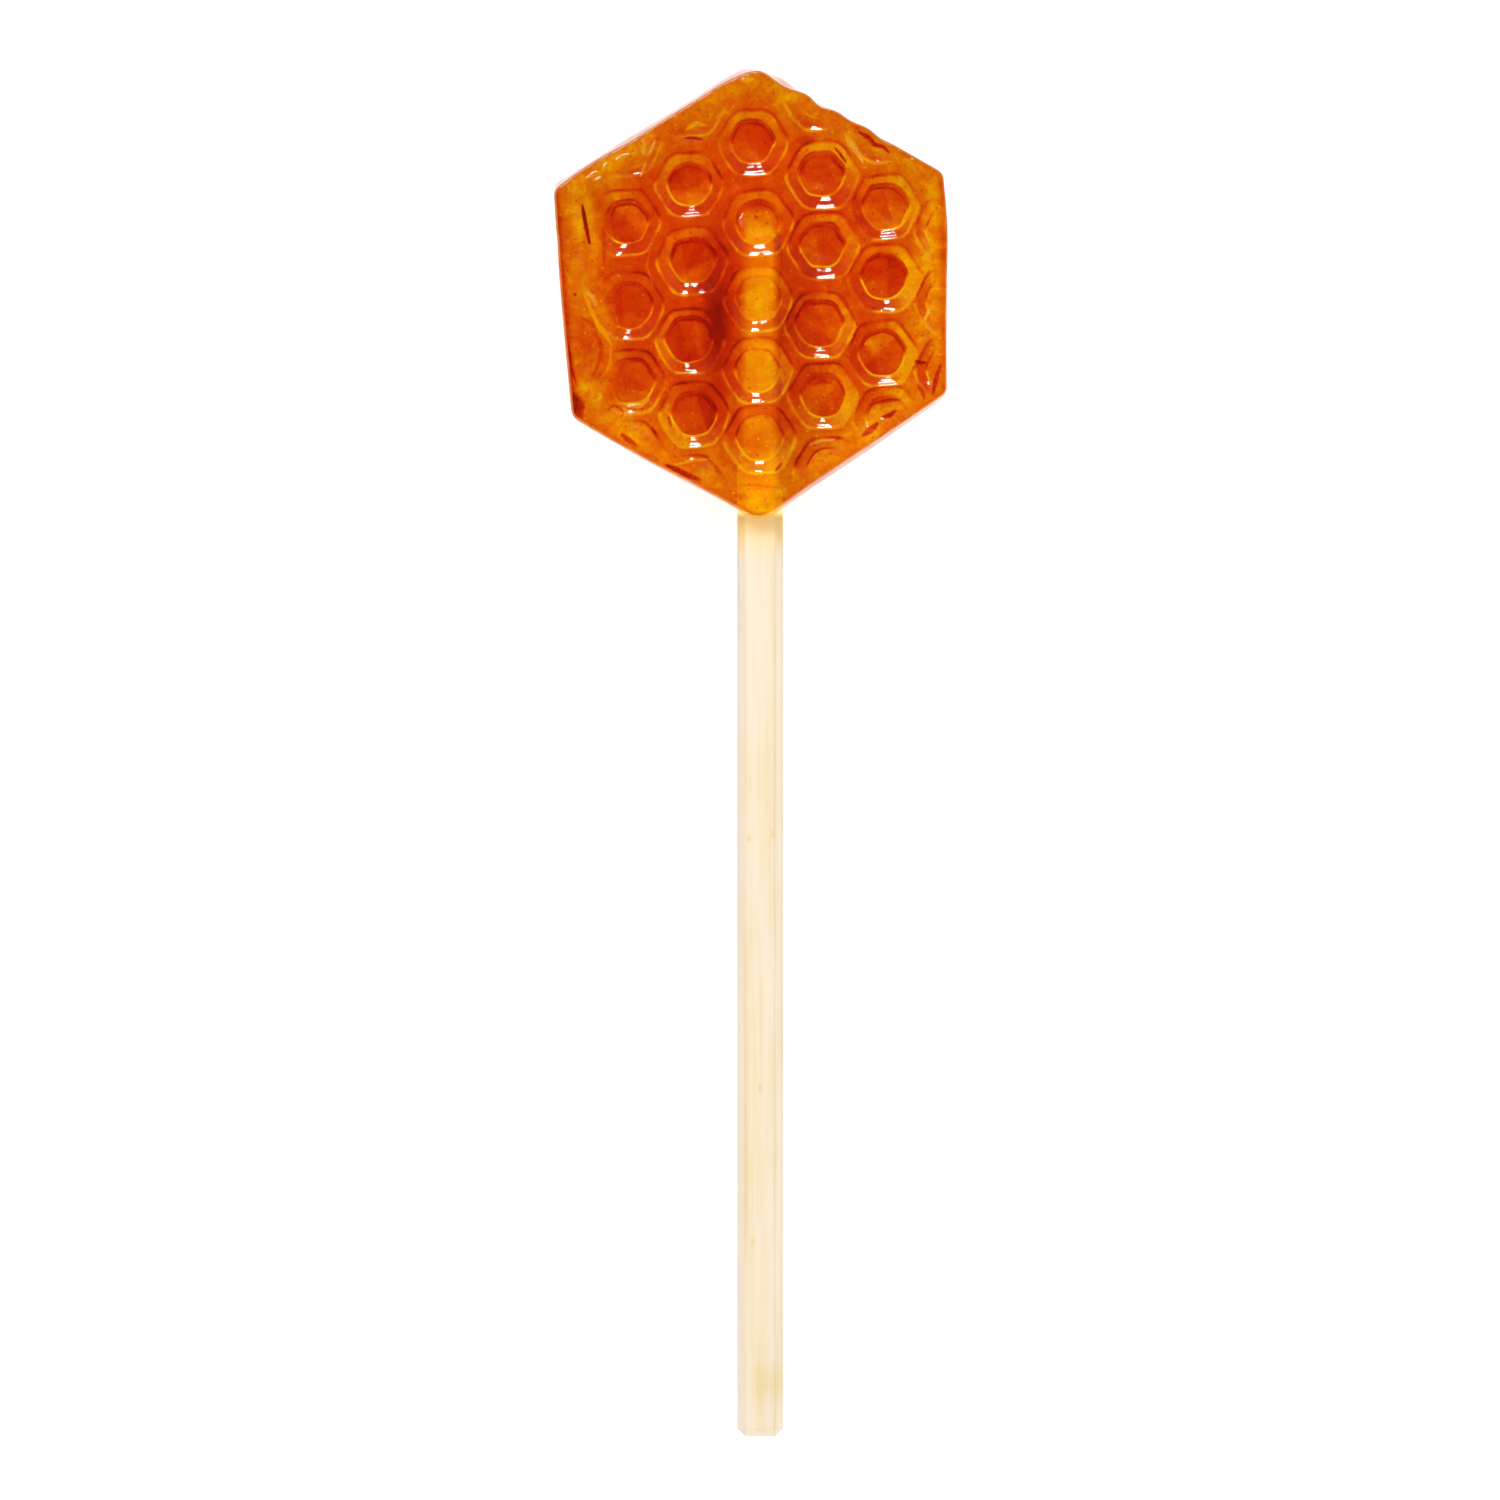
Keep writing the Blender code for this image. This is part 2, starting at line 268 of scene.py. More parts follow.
def side_profile():
    """Insets and heights of the rings from the face's rim, round its shoulder and down to the back."""
    rings = []
    for step in range(1, SHOULDER_RINGS + 1):
        angle = math.pi / 2 * step / SHOULDER_RINGS
        left = 1 - math.sin(angle)
        rings.append(([slope + width * left for slope, width in zip(SLOPES, SHOULDERS)],
                      max(CORNER_RADIUS - RADIUS_LOSS * left, LEAST_RADIUS),
                      THICKNESS - SHOULDER_DROP * (1 - math.cos(angle))))
    wall_top = THICKNESS - SHOULDER_DROP
    for share in WALL_SHARES:
        height = FOOT_HEIGHT + (wall_top - FOOT_HEIGHT) * share
        left = max((height / THICKNESS - SLOPE_FOOT) / (wall_top / THICKNESS - SLOPE_FOOT), 0)
        rings.append(([slope * left ** SLOPE_CURVE for slope in SLOPES], CORNER_RADIUS, height))
    rings.append(([0.02 * MM] * SIDES, CORNER_RADIUS, FOOT_HEIGHT * 0.4))
    rings.append(([0.08 * MM] * SIDES, CORNER_RADIUS, 0.0))
    return rings


print("rings down the side:", len(side_profile()))

# %% The face and the rings round it
face_insets = [slope + width for slope, width in zip(SLOPES, SHOULDERS)]
candy = six_sided_fan("clear_candy", FACE_CUTS)
rim_side, rim_along, rim_out = fan_places(read_points(candy.data))
at_rim = rim_out > AT_RIM
lay_fan(candy, face_insets, CORNER_RADIUS - RADIUS_LOSS, THICKNESS, blend_from=0.9)
rim_keys = (rim_side[at_rim], rim_along[at_rim])
print("face:", len(candy.data.polygons), "triangles,", int(at_rim.sum()), "rim points")

enter("EDIT")
bpy.ops.mesh.select_all(action="SELECT")
bpy.ops.mesh.region_to_loop()
ring_order = None
for insets, radius, height in side_profile():
    bpy.ops.mesh.extrude_region()
    enter("OBJECT")
    points, chosen = chosen_points(candy.data)
    if not np.any(chosen):
        raise RuntimeError("the ring was lost")
    ring = ring_points(*rim_keys, insets, radius, height)
    ring_rows = np.flatnonzero(chosen)
    if ring_order is None:
        start = points[np.flatnonzero(at_rim)]
        ring_order = np.array([int(np.argmin(((start - spot) ** 2).sum(1))) for spot in points[chosen]])
    points[chosen] = ring[ring_order]
    write_points(candy.data, points)
    enter("EDIT")
enter("OBJECT")
print("with sides:", len(candy.data.polygons), "faces")

# %% The back
BACK_INSET = 0.15 * MM
back = six_sided_fan("candy_back", BACK_CUTS)
back_places = fan_places(read_points(back.data))
lay_fan(back, [BACK_INSET] * SIDES, CORNER_RADIUS, 0.0, blend_from=0.8)
enter("EDIT")
bpy.ops.mesh.flip_normals()
enter("OBJECT")


def rim_in_order(places):
    """Rim points' numbers in their order round the candy."""
    side, along, out = places
    rim = np.flatnonzero(out > AT_RIM)
    return rim[np.argsort(side[rim] + along[rim])]


def join_back(candy, back, fine_rows):
    """Joins the back to the last ring, whose points are twice as many."""
    coarse = rim_in_order(back_places) + len(candy.data.vertices)
    select_only(candy)
    back.select_set(True)
    bpy.ops.object.join()
    mesh = bmesh.new()
    mesh.from_mesh(candy.data)
    mesh.verts.ensure_lookup_table()
    count = len(coarse)
    for spot in range(count):
        a, b = mesh.verts[coarse[spot]], mesh.verts[coarse[(spot + 1) % count]]
        c, d, e = (mesh.verts[fine_rows[(2 * spot + step) % (2 * count)]] for step in range(3))
        for corners in ((a, c, d), (a, d, b), (b, d, e)):
            mesh.faces.new(corners)
    bmesh.ops.recalc_face_normals(mesh, faces=mesh.faces)
    mesh.to_mesh(candy.data)
    mesh.free()


fine_rows = ring_rows[np.argsort((rim_keys[0] + rim_keys[1])[ring_order])]
join_back(candy, back, fine_rows)
print("closed slab:", len(candy.data.polygons), "faces")

# %% [markdown]
# ## The comb
# Each cell is a six-sided pit with soft corners, one wide wall from its lip to its foot, and a nearly
# flat floor. A rounded hexagon is found as a smooth mean of the distances to its three pairs of flats.
# The higher its power, the sharper its corners, and a power of two gives a circle.
# The candy's tone follows the cells too, as painted light and shade: a wall glows on the side away from
# the lamp, thin bright lines run along its lower edges as painted highlights, darker ones along its
# upper edges as painted shade, and the floors are patchy with painted refraction. So each point also
# keeps its distances from the lip and the foot of its cell, which the finish turns into crisp lines,
# finer than the mesh.

# %% Soft steps, hexagons and cell places
CELL_PITCH = 7.0
COLUMN_PITCH = 6.0
COMB_SHIFT = (0.60, -0.65)
COLUMN_RISE = 0.59
ROW_LEAN = -0.09
COMB_BULGE = 0.11
COLUMNS = 3
COMB_REACH = 25
LEFT_OUT = [(0, 3), (0, -3)]
# How far cells lie from their places in an even comb, by column and level
CELL_NUDGES = {
    (-2, -1): (0.2, -0.2), (-2, 0): (0, -0.25), (-2, 1): (-0.2, 0.2), (-1, -1.5): (0, -0.2),
    (-1, -0.5): (-0.3, -0.25), (-1, 0.5): (0, 0.1), (-1, 1.5): (-0.2, -0.1), (0, -2): (0.1, 0.2),
    (0, -1): (0, -0.1), (0, 0): (0.1, -0.35), (0, 1): (0.2, -0.35), (0, 2): (-0.2, -0.2),
    (1, -1.5): (0.05, 0.05), (1, -0.5): (-0.15, -0.05), (1, 0.5): (0.25, 0.45), (1, 1.5): (0.25, -0.1),
    (2, -1): (-0.45, -0.35), (2, 0): (-0.1, 0), (2, 1): (0, -0.25), (1, -2.5): (0.5, -0.5),
    (-1, -2.5): (-0.4, -0.4)}


def smooth(share):
    share = np.clip(share, 0.0, 1.0)
    return share * share * share * (share * (share * 6 - 15) + 10)


def bell(distance, width):
    return np.exp(-((distance / width) ** 2))


def hexagon_distance(x, y, power):
    """Half width of the rounded hexagon, with flats at its top and bottom, that runs through a point."""
    total = sum(np.abs(x * math.cos(math.radians(flat)) + y * math.sin(math.radians(flat))) ** power
                for flat in (30, 90, 150))
    return (total / (1.0 + 2 * 0.5 ** power)) ** (1 / power)


def ripples(x, y, seed, length, count=9):
    """A smooth uneven field between about -1 and 1, the same each time for one seed."""
    draw = random.Random(seed)
    field = np.zeros_like(x)
    for _ in range(count):
        angle, phase = draw.uniform(0, math.pi), draw.uniform(0, 2 * math.pi)
        step = 2 * math.pi / (length * draw.uniform(0.6, 1.7))
        field += np.sin(step * (x * math.cos(angle) + y * math.sin(angle)) + phase)
    return field / math.sqrt(count * 1.5)


def cell_places():
    """The cells' middles, in millimetres from the candy's middle."""
    places = []
    for column in range(-COLUMNS, COLUMNS + 1):
        for row in range(-COLUMNS - 1, COLUMNS + 2):
            level = row + 0.5 * (column % 2)
            nudge = CELL_NUDGES.get((column, level), (0.0, 0.0))
            x = COMB_SHIFT[0] + COLUMN_PITCH * column + ROW_LEAN * level + nudge[0]
            y = COMB_SHIFT[1] + COLUMN_RISE * column + CELL_PITCH * level + nudge[1]
            y += COMB_BULGE * (column ** 2 + level ** 2 - column * level)
            if math.hypot(x, y) < COMB_REACH and (column, level) not in LEFT_OUT:
                places.append((x, y))
    return places


print("cells:", len(cell_places()))

# %% [markdown]
# ## How deep and how dark
# On the real sweet, a cell's wall goes down in two slopes with a ledge between them, and its floor sags
# a little. The colour could be one even amber, but poured honey candy is clear and yellow where it is
# thin, over the stick, and deep red in its thick middle. Near the rim it is clear and yellow as painted
# light coming in through the sides, and beside the stick it is deep red as the stick's painted shadow.
# So the tone, painted light and shade included, is worked out point by point from the place on the
# face, and kept with the depth.

# %% Walls, borders and spots of tone
LIP_HALF = 3.12
FOOT_HALF = 2.1
LIP_POWER = 9
WALL_DEPTH = 0.30
FLOOR_SAG = 0.05
# Each side's plain border, how softly it ends and how dark its very edge is
BORDER_WIDTHS = [1.8, 1.4, 1.8, 2.2, 4.6, 2.9]
BORDER_SOFTNESS = [1.6, 1.6, 1.6, 1.6, 2.6, 2.4]
EDGE_DARKS = [0.3, 0.8, 0.4, 0.6, 1.7, 0.3]
STICK_X = 0.85
# Darker and clearer spots in the candy: x, y, half width, half height, amount. The first three, left
# of the stick, and the one at x 3.9, right of it, are the stick's painted shadow.
SHADOW_AND_TONE_SPOTS = [
    (-3, -2.5, 1.4, 7.5, 0.55), (-3, -1.5, 1.6, 4.5, 0.12), (-6, 2, 4, 9, 0.06),
    (-5.5, -3.9, 1.4, 1.6, 0.14), (-6.8, 3.2, 1.4, 1.6, 0.11), (-4.4, 2.9, 1.2, 1.4, 0.12),
    (3.9, 1.5, 0.9, 5, 0.14), (3.5, -15.3, 0.9, 2.2, 0.12), (8.5, 3.5, 3, 4.5, 0.08),
    (9.5, -9, 3.5, 2.6, -0.14), (6.5, -10.8, 2.5, 1.6, -0.09), (6.9, -9.5, 1.3, 1.5, -0.12),
    (7, 12.2, 2.5, 1.8, -0.07), (5.8, 13, 1.6, 1.6, -0.06), (11.4, 4.2, 1.6, 1.6, -0.18),
    (-16.2, -7, 1.6, 4, 0.10), (-17.3, -8.7, 1.2, 2.4, 0.14), (-15.6, 1.7, 1.4, 1.4, 0.10),
]


def wall_profile(share, terrace):
    """Share of the depth on the way down a wall, from 0 at the lip to 1 at the foot."""
    steps = np.linspace(-0.2, 1.2, 141)
    slope = smooth((steps + 0.12) / 0.3) * smooth((1.12 - steps) / 0.3)
    slope *= 1 - terrace * bell(steps - 0.5, 0.14)
    depth = np.cumsum(slope)
    return np.interp(share, steps, depth / depth[-1])


def inside_side(x, y, side):
    """Distance inside one side of the outline, in millimetres."""
    corner, following = CORNERS[side] / MM, CORNERS[(side + 1) % SIDES] / MM
    along = (following - corner).normalized()
    return (x - corner.x) * along.y - (y - corner.y) * along.x


def border_share(x, y):
    """0 on the plain border, 1 well inside it."""
    share = np.ones_like(x)
    for side in range(SIDES):
        softness = BORDER_SOFTNESS[side]
        share *= smooth((inside_side(x, y, side) - BORDER_WIDTHS[side] + softness / 2) / softness)
    return share


# %% Depth and tones of the comb
CELL_REACH = 4.4
LEAST_WALL = 0.05
FAR_LIP, FAR_FOOT = 3.0, 4.0


def press_comb(x, y):
    """Depth of the comb, distances outside the nearest lip and foot, and painted light: walls' glowing,
    highlight and shade lines, refraction on floors.
    """
    depth, painted_glow, lines, refraction_patches = (np.zeros_like(x) for _ in range(4))
    lip, foot = np.full_like(x, FAR_LIP), np.full_like(x, FAR_FOOT)
    wobble = 0.035 * ripples(x, y, 2, 2.2)
    draw = random.Random(21)
    for cell_x, cell_y in cell_places():
        turn = math.radians(draw.uniform(1.0, 6.0))
        size = draw.uniform(0.96, 1.03)
        foot_power = draw.uniform(4.0, 9.0)
        foot_half = FOOT_HALF * draw.uniform(0.95, 1.05)
        terrace = draw.uniform(0.65, 0.9)
        lean = draw.uniform(-0.12, 0.12), draw.uniform(0.0, 0.2)
        tilt = draw.uniform(-0.02, 0.02), draw.uniform(-0.02, 0.02)
        cuts = [(draw.uniform(0, 2 * math.pi), draw.uniform(0.2, 1.0), draw.uniform(-0.5, 0.5))
                for _ in range(4)]
        dx, dy = x - cell_x, y - cell_y
        near = np.hypot(dx, dy) < CELL_REACH
        dx, dy = dx[near], dy[near]
        u = (dx * math.cos(turn) + dy * math.sin(turn)) / size
        v = (-dx * math.sin(turn) + dy * math.cos(turn)) / size
        to_lip = hexagon_distance(u, v, LIP_POWER) - LIP_HALF + wobble[near]
        to_foot = hexagon_distance(u - lean[0], v - lean[1], foot_power) - foot_half - 1.5 * wobble[near]
        share = -to_lip / np.maximum(to_foot - to_lip, LEAST_WALL)
        share = np.where(to_foot - to_lip > LEAST_WALL, share, 1.2)
        cell = WALL_DEPTH * wall_profile(share, terrace)
        floor = smooth(-to_foot / 1.5)
        cell += floor * (FLOOR_SAG + tilt[0] * u + tilt[1] * v)
        away = np.maximum(np.hypot(dx, dy), 0.3)
        glow_way = Vector((cell_x / 12, cell_y / 14 + 0.6)).normalized()
        towards = (dx * glow_way.x + dy * glow_way.y) / away
        up = dy / away
        chosen = to_lip < lip[near]
        rows = np.flatnonzero(near)[chosen]
        lip[rows] = to_lip[chosen]
        foot[rows] = to_foot[chosen]
        depth[rows] = cell[chosen]
        # Painted light: the wall lighter on the side glow_way points to, highlight lines below and shade
        # lines above
        painted_glow[rows] = (-0.10 - (0.26 + 0.008 * cell_x) * towards)[chosen]
        lines[rows] = np.clip(1.6 * smooth((0.35 - up) / 0.5) - 0.8, -0.8, 0.8)[chosen]
        # Painted refraction: darker and lighter facets on the floor
        patch = sum(amount * smooth((u * math.cos(way) + v * math.sin(way) - spot) / 0.18 + 0.5)
                    for way, spot, amount in cuts)
        refraction_patches[rows] = (0.03 + 0.24 * patch)[chosen]
    return depth, lip, foot, painted_glow, lines, refraction_patches


# %% Wide tones
# The rim's low tone is painted light coming in through the sides: clear and yellow there.
RIM_PAINTED_LIGHT_TONE, TONE_INWARD = 0.22, 0.32


def over_stick(x, y):
    """1 where the stick lies under the face."""
    return smooth((2.6 - np.abs(x - STICK_X)) / 1.6) * smooth((8.4 - y) / 1.6)


def broad_tone(x, y, foot):
    """The wide tones of the candy: clear and yellow near the rim, painted light, and deep red beside the
    stick, its painted shadow.
    """
    inside = np.min([inside_side(x, y, side) for side in range(SIDES)], axis=0)
    tone = RIM_PAINTED_LIGHT_TONE + TONE_INWARD * smooth(inside / 7.0)
    for spot_x, spot_y, width, height, amount in SHADOW_AND_TONE_SPOTS:
        tone += amount * bell(x - spot_x, width) * bell(y - spot_y, height)
    tone -= 0.10 * smooth((x - 6.0) / 6.0) * smooth((8.0 - np.abs(y + 2.0)) / 5.0)
    tone -= 0.06 * smooth((-y - 6.0) / 10.0)
    in_floor, low_down = smooth((0.3 - foot) / 0.6), smooth((-y - 9.0) / 9.0)
    tone -= over_stick(x, y) * (0.24 + 0.18 * in_floor - 0.26 * low_down)
    tone += 0.05 * smooth((inside - 2.0) / 3.0)
    tone += 0.12 * smooth((x + 14.1) / 0.7) * bell(x + 12.5, 2.5) * bell(y - 4.0, 4.0)
    tone += 0.30 * sum(edge_dark * bell(inside_side(x, y, side) - 0.25, 0.35)
                       for side, edge_dark in enumerate(EDGE_DARKS))
    return tone + 0.07 * ripples(x, y, 4, 5.0) + 0.04 * ripples(x, y, 5, 2.0)


# %% [markdown]
# ## Folds, cracks and dents
# Poured sugar keeps small folds, trapped slits and nicks, mostly near its rim. Each one is a stroke:
# half its width, the tone it gives (bright below 0, dark above), how deep it dents the face, and the
# points it runs through, in millimetres from the candy's middle.

# %% Strokes on the face
MARKS = [
    # a slit on the left
    (0.19, 1.6, 0.1, [(-15.7, 7.8), (-15.4, 6.1), (-15, 4.2)]),
    # bright crescents near the upper left corner, raised to mirror the lamps, their brightness a painted
    # highlight
    (0.15, -0.4, -0.065, [(-10.1, 14), (-9.9, 13.2), (-10.1, 12.5)]),
    (0.13, -0.4, -0.06, [(-8.9, 13.8), (-9.2, 13), (-9.7, 12.3)]),
    (0.13, -0.4, -0.06, [(-9.8, 11.8), (-10, 11), (-10.3, 10.3)]),
    (0.16, -0.5, -0.07, [(-15.2, 10.3), (-14.7, 10.7), (-14.1, 10.9)]),
    (0.16, -0.5, -0.07, [(-13.8, 11.1), (-13.4, 11.6)]),
    (0.11, -0.4, -0.055, [(-14.6, 10), (-13.9, 10.4)]),
    (0.12, -0.4, -0.055, [(-12.6, 11.9), (-11.9, 12.4), (-11.3, 12.5)]),
    (0.12, -0.4, -0.05, [(-16.5, 8.9), (-16.3, 9.5)]),
    (0.12, -0.4, -0.05, [(-16.3, 7.2), (-15.9, 6.8)]),
    # a glint at the top point
    (0.34, -0.3, -0.09, [(-0.8, 19.78), (0.15, 19.86)]),
    (0.23, -0.35, -0.06, [(-6, 14.8), (-5, 15.4), (-4.1, 15.2)]),
    (0.17, 0.8, 0.06, [(-6.2, 14), (-5.4, 14.1), (-4.5, 13.9)]),
    # a fold and a long oval dent on the left
    (0.18, -0.3, -0.08, [(-14.4, -1.5), (-14.7, -0.8), (-15.2, -0.3)]),
    (0.21, -0.35, -0.05, [(-15.6, -0.2), (-14.8, -2.2), (-14, -3.8), (-13.1, -5)]),
    (0.15, -0.3, -0.04, [(-14.4, -2.8), (-13.4, -4.4), (-12.9, -5.4)]),
    (0.20, -0.2, -0.03, [(-13, -5.6), (-13.1, -7), (-13.9, -8.4)]),
    (0.24, 0.25, 0,
     [(-15.9, -2.6), (-14.8, -3.3), (-14.2, -4.6), (-13.9, -5.6), (-14.1, -6.9), (-14.7, -8.2)]),
    (0.20, 0.2, 0, [(-13.7, 6.2), (-13.7, 4.4), (-13.6, 2.2)]),
    (0.14, -0.25, -0.04, [(-9.4, 3.6), (-9.7, 2), (-9, 0.4)]),
    (0.15, 0.5, 0, [(-17, -5.1), (-16.7, -7.3), (-16.2, -9.1)]),
    (0.21, 0.6, 0, [(-16.5, -0.5), (-16.3, -0.6)]),
    (0.75, 0.75, 0, [(-16.5, -10.1), (-15.9, -11.7)]),
    (0.15, -0.6, -0.05, [(-14.6, -10.5), (-13.9, -10.1), (-14.1, -9.7)]),
    (0.15, 0.3, 0.03, [(-13.3, -11.3), (-12.8, -10.9), (-12.2, -11.1), (-11.8, -11.6), (-12.1, -12)]),
    (0.23, -0.5, -0.04, [(-11.3, -11), (-10.3, -10.9), (-9.5, -10.2)]),
    # dark flaws along the lower left side
    (0.28, 0.7, 0.05, [(-12, -13.6), (-11.3, -14.2), (-10.7, -14.6)]),
    (0.16, 0.5, 0.04, [(-7.7, -11.9), (-7.4, -12.9)]),
    (0.16, 0.4, 0.03, [(-9.2, -12.9), (-8.8, -13.8)]),
    (0.33, 0.8, 0.06, [(-7.8, -16.5), (-6.4, -17.2), (-4.8, -17.8)]),
    (0.15, -0.35, -0.04, [(-6.8, -16.4), (-5.3, -16), (-3.6, -15.9)]),
    # cracks and lines along the upper right side
    (0.16, 1, 0.06, [(7.8, 13.2), (8.4, 12.5), (8.9, 11.8)]),
    (0.21, 0.9, 0.08, [(10.1, 14.6), (11, 14.1), (11.6, 13.4), (12.4, 13.2), (12.9, 12.7)]),
    (0.15, -0.8, -0.05, [(12.1, 13.9), (13.3, 13.2)]),
    (0.17, -0.8, -0.08, [(8.9, 14.3), (9.2, 13.5), (10, 12.6), (10.5, 11.7)]),
    (0.56, 0.3, 0, [(4.4, 13.8), (5.8, 13.9)]),
    (0.24, 0.6, 0, [(18.1, 9.6), (18.3, 7.7)]),
    (0.19, 0.7, 0, [(17.3, 7.5), (17.4, 7.5)]),
    (0.17, 0.6, 0, [(18.1, 7.3), (18.2, 7.3)]),
    (0.16, -0.6, -0.05, [(15, 12.1), (15.1, 12)]),
    # soft lights and flaws down the right side
    (0.16, -0.6, -0.05, [(16.8, -1.8), (16.4, -2.6), (16.2, -3.2)]),
    (0.16, 0.7, 0.05, [(15.1, -6.7), (15.8, -6.9), (16.4, -6.9)]),
    (0.24, 0.7, 0.06, [(17.7, -7.1), (17.3, -8.4), (17, -9.8)]),
    (0.19, 0.6, 0.05, [(15.6, -9), (16, -9.6), (16.2, -10.3)]),
    (0.24, 0.8, 0.06, [(12.3, -12), (13, -11.8), (13.5, -11.4)]),
    (0.32, 0.8, 0.06, [(10.5, -13.7), (11.2, -13.2), (11.8, -12.6)]),
    (0.15, 0.35, 0, [(10.9, -10.9), (12.5, -10.5), (14, -10.4)]),
    # a bubble's ring, raised and painted lighter as its highlight, and specks at the stick's end
    (0.12, -0.2, -0.07, [(-0.7, 6.9), (-1, 6.4), (-0.8, 5.8)]),
    (0.14, 0.5, 0, [(0.3, 6.9), (0.7, 6.5)]),
    (0.12, 0.4, 0, [(1.4, 6), (1.7, 6.2)]),
    # marks in the lower cells and below them
    (0.19, 0.35, 0.02, [(5.9, -8.9), (6.7, -8.6), (7.5, -8.8)]),
    (0.15, -0.4, -0.05, [(5.4, -14.6), (6.7, -14.1), (7.9, -14)]),
    (0.15, 0.7, 0.04, [(2.3, -16.9), (3, -16.2)]),
    (0.15, 0.15, 0.03, [(-1.2, -18.3), (0.9, -18.1), (3.2, -18.4)]),
    (0.13, -0.1, -0.04, [(2.2, -18.9), (3.4, -18.4)]),
    (0.30, 0.16, 0, [(-1.5, -19.2), (-0.2, -19.3)]),
    (0.26, 0.16, 0, [(2.3, -19.3), (3.3, -19.4)]),
]
print("strokes:", len(MARKS))

# %% Wide soft bands, in the same terms
BANDS = [
    (1.2, 0.12, 0.10, [(-15.3, -3.5), (-15.3, -6.9)]),
    (0.6, 0.02, 0.06, [(16.5, -1.1), (16.3, -2.8), (16.5, -4.4)]),
    (0.5, -0.22, -0.04, [(16.3, 6.6), (16.2, 4.7), (16.4, 2.9)]),
    # a clear band on either side of the slit, running down into a soft ridge beside the long dent
    (0.6, -0.22, 0, [(-16.4, 9.8), (-16.3, 7), (-15.9, 4)]),
    (0.6, -0.26, 0, [(-15.6, 10.2), (-15, 7), (-14.4, 3.5), (-14.6, 1.5)]),
    (0.7, -0.16, -0.10,
     [(-16.2, 2.5), (-15.2, 0.5), (-13.9, -2), (-13.1, -4.8), (-13, -7.4), (-13.9, -9.8)]),
    (0.9, -0.12, 0, [(-15.6, -9), (-13.6, -11.6), (-10, -12.8)]),
    # clear streaks along the upper sides
    (0.8, -0.16, 0, [(-16.6, 10.3), (-13, 12), (-10, 13.2)]),
    (0.9, -0.10, 0, [(-3, 18.4), (0, 19.4), (3, 18)]),
    (0.9, -0.10, 0, [(10.5, 13), (14, 11.6), (17, 9.4)]),
    (1.1, -0.12, 0, [(16.8, 8.5), (16.9, 4)]),
    (0.9, -0.14, 0, [(13.5, -10.6), (9, -13.4), (6, -15.4)]),
]
print("bands:", len(BANDS))

# %% Laying strokes and bands
STROKE_TAPER, BAND_TAPER = 0.5, 0.3
FAR_AWAY, FAR_EDGE = 9.0, 2.0


def along_stroke(x, y, corners):
    """Distance from a line of points, and 0 at the line's middle to 1 at its ends."""
    lengths = [math.dist(a, b) for a, b in zip(corners, corners[1:])]
    whole = sum(lengths)
    away, middle = np.full_like(x, FAR_AWAY), np.zeros_like(x)
    start = 0.0
    for (ax, ay), (bx, by), length in zip(corners, corners[1:], lengths):
        ux, uy = (bx - ax) / length, (by - ay) / length
        along = np.clip((x - ax) * ux + (y - ay) * uy, 0, length)
        distance = np.hypot(x - ax - ux * along, y - ay - uy * along)
        chosen = distance < away
        away[chosen] = distance[chosen]
        middle[chosen] = np.abs((start + along[chosen]) / whole * 2 - 1)
        start += length
    return away, middle


def lay_strokes(x, y):
    """Place across the nearest stroke's edge, its tone and relief, and the bands' tones and all dents."""
    edge = np.full_like(x, FAR_EDGE)
    tone, relief, wide_tone, dent = (np.zeros_like(x) for _ in range(4))
    for half, stroke_tone, stroke_depth, corners in MARKS:
        away, middle = along_stroke(x, y, corners)
        width = half * (1 - STROKE_TAPER * middle ** 2)
        outside = (away - width) / (0.6 * half)
        chosen = outside < edge
        edge[chosen] = outside[chosen]
        tone[chosen] = stroke_tone
        relief[chosen] = -stroke_depth if stroke_tone < 0 else 0.0
        if stroke_tone >= 0:
            dent += stroke_depth * bell(np.maximum(away - 0.3 * width, 0), np.maximum(width, 0.25))
    for half, band_tone, band_depth, corners in BANDS:
        away, middle = along_stroke(x, y, corners)
        band = bell(away, half * (1 - BAND_TAPER * middle ** 2))
        wide_tone += band_tone * band
        dent += band_depth * band
    return edge, tone, relief, wide_tone, dent


# %% [markdown]
# ## Pressing the face
# The mould and the poured sugar shape the slab together: the comb goes down, the rim stays up, the top
# point sags and the bottom point runs out over the stick. Sculpting by hand could do this too. Here it
# is a rule on the points, so that it comes out the same each time. What the finish needs is stored on
# the points as attributes.

# %% Press the face
APEX_SAG = 0.42
TIP_RUN, TIP_DROOP = 0.33, 0.5
points = read_points(candy.data)
on_face = points[:, 2] > THICKNESS - 1e-6
x = (points[:, 0] - CANDY_CENTRE.x) / MM
y = (points[:, 1] - CANDY_CENTRE.y) / MM
depth, lip, foot, painted_glow, lines, refraction_patches = press_comb(x, y)
share = border_share(x, y)
edge, mark, relief, wide_tone, dent = lay_strokes(x, y)
rise = 0.025 * ripples(x, y, 8, 5.0) * smooth(share)
rim_gap = np.min([inside_side(x, y, side) - SLOPES[side] / MM for side in range(SIDES)], axis=0)
rim_ease = smooth(rim_gap - 0.5)
points[on_face, 2] = THICKNESS - (depth * share + dent * rim_ease + rise)[on_face] * MM
rim_height = smooth((points[:, 2] / MM - 3.0) / 2.5)
points[:, 1] -= MM * APEX_SAG * rim_height * bell(x + 0.3, 1.5) * smooth((y - 17.0) / 3.5)
low_down = smooth((-y - 15.0) / 4.5)
tip = smooth((5.0 - np.abs(x - STICK_X)) / 3.4) * low_down * rim_height
points[:, 1] -= TIP_RUN * MM * bell(x - 1.8, 2.6) * low_down * rim_height
points[:, 2] -= TIP_DROOP * MM * tip * smooth((-y - 18.6) / 2.4)
write_points(candy.data, points)
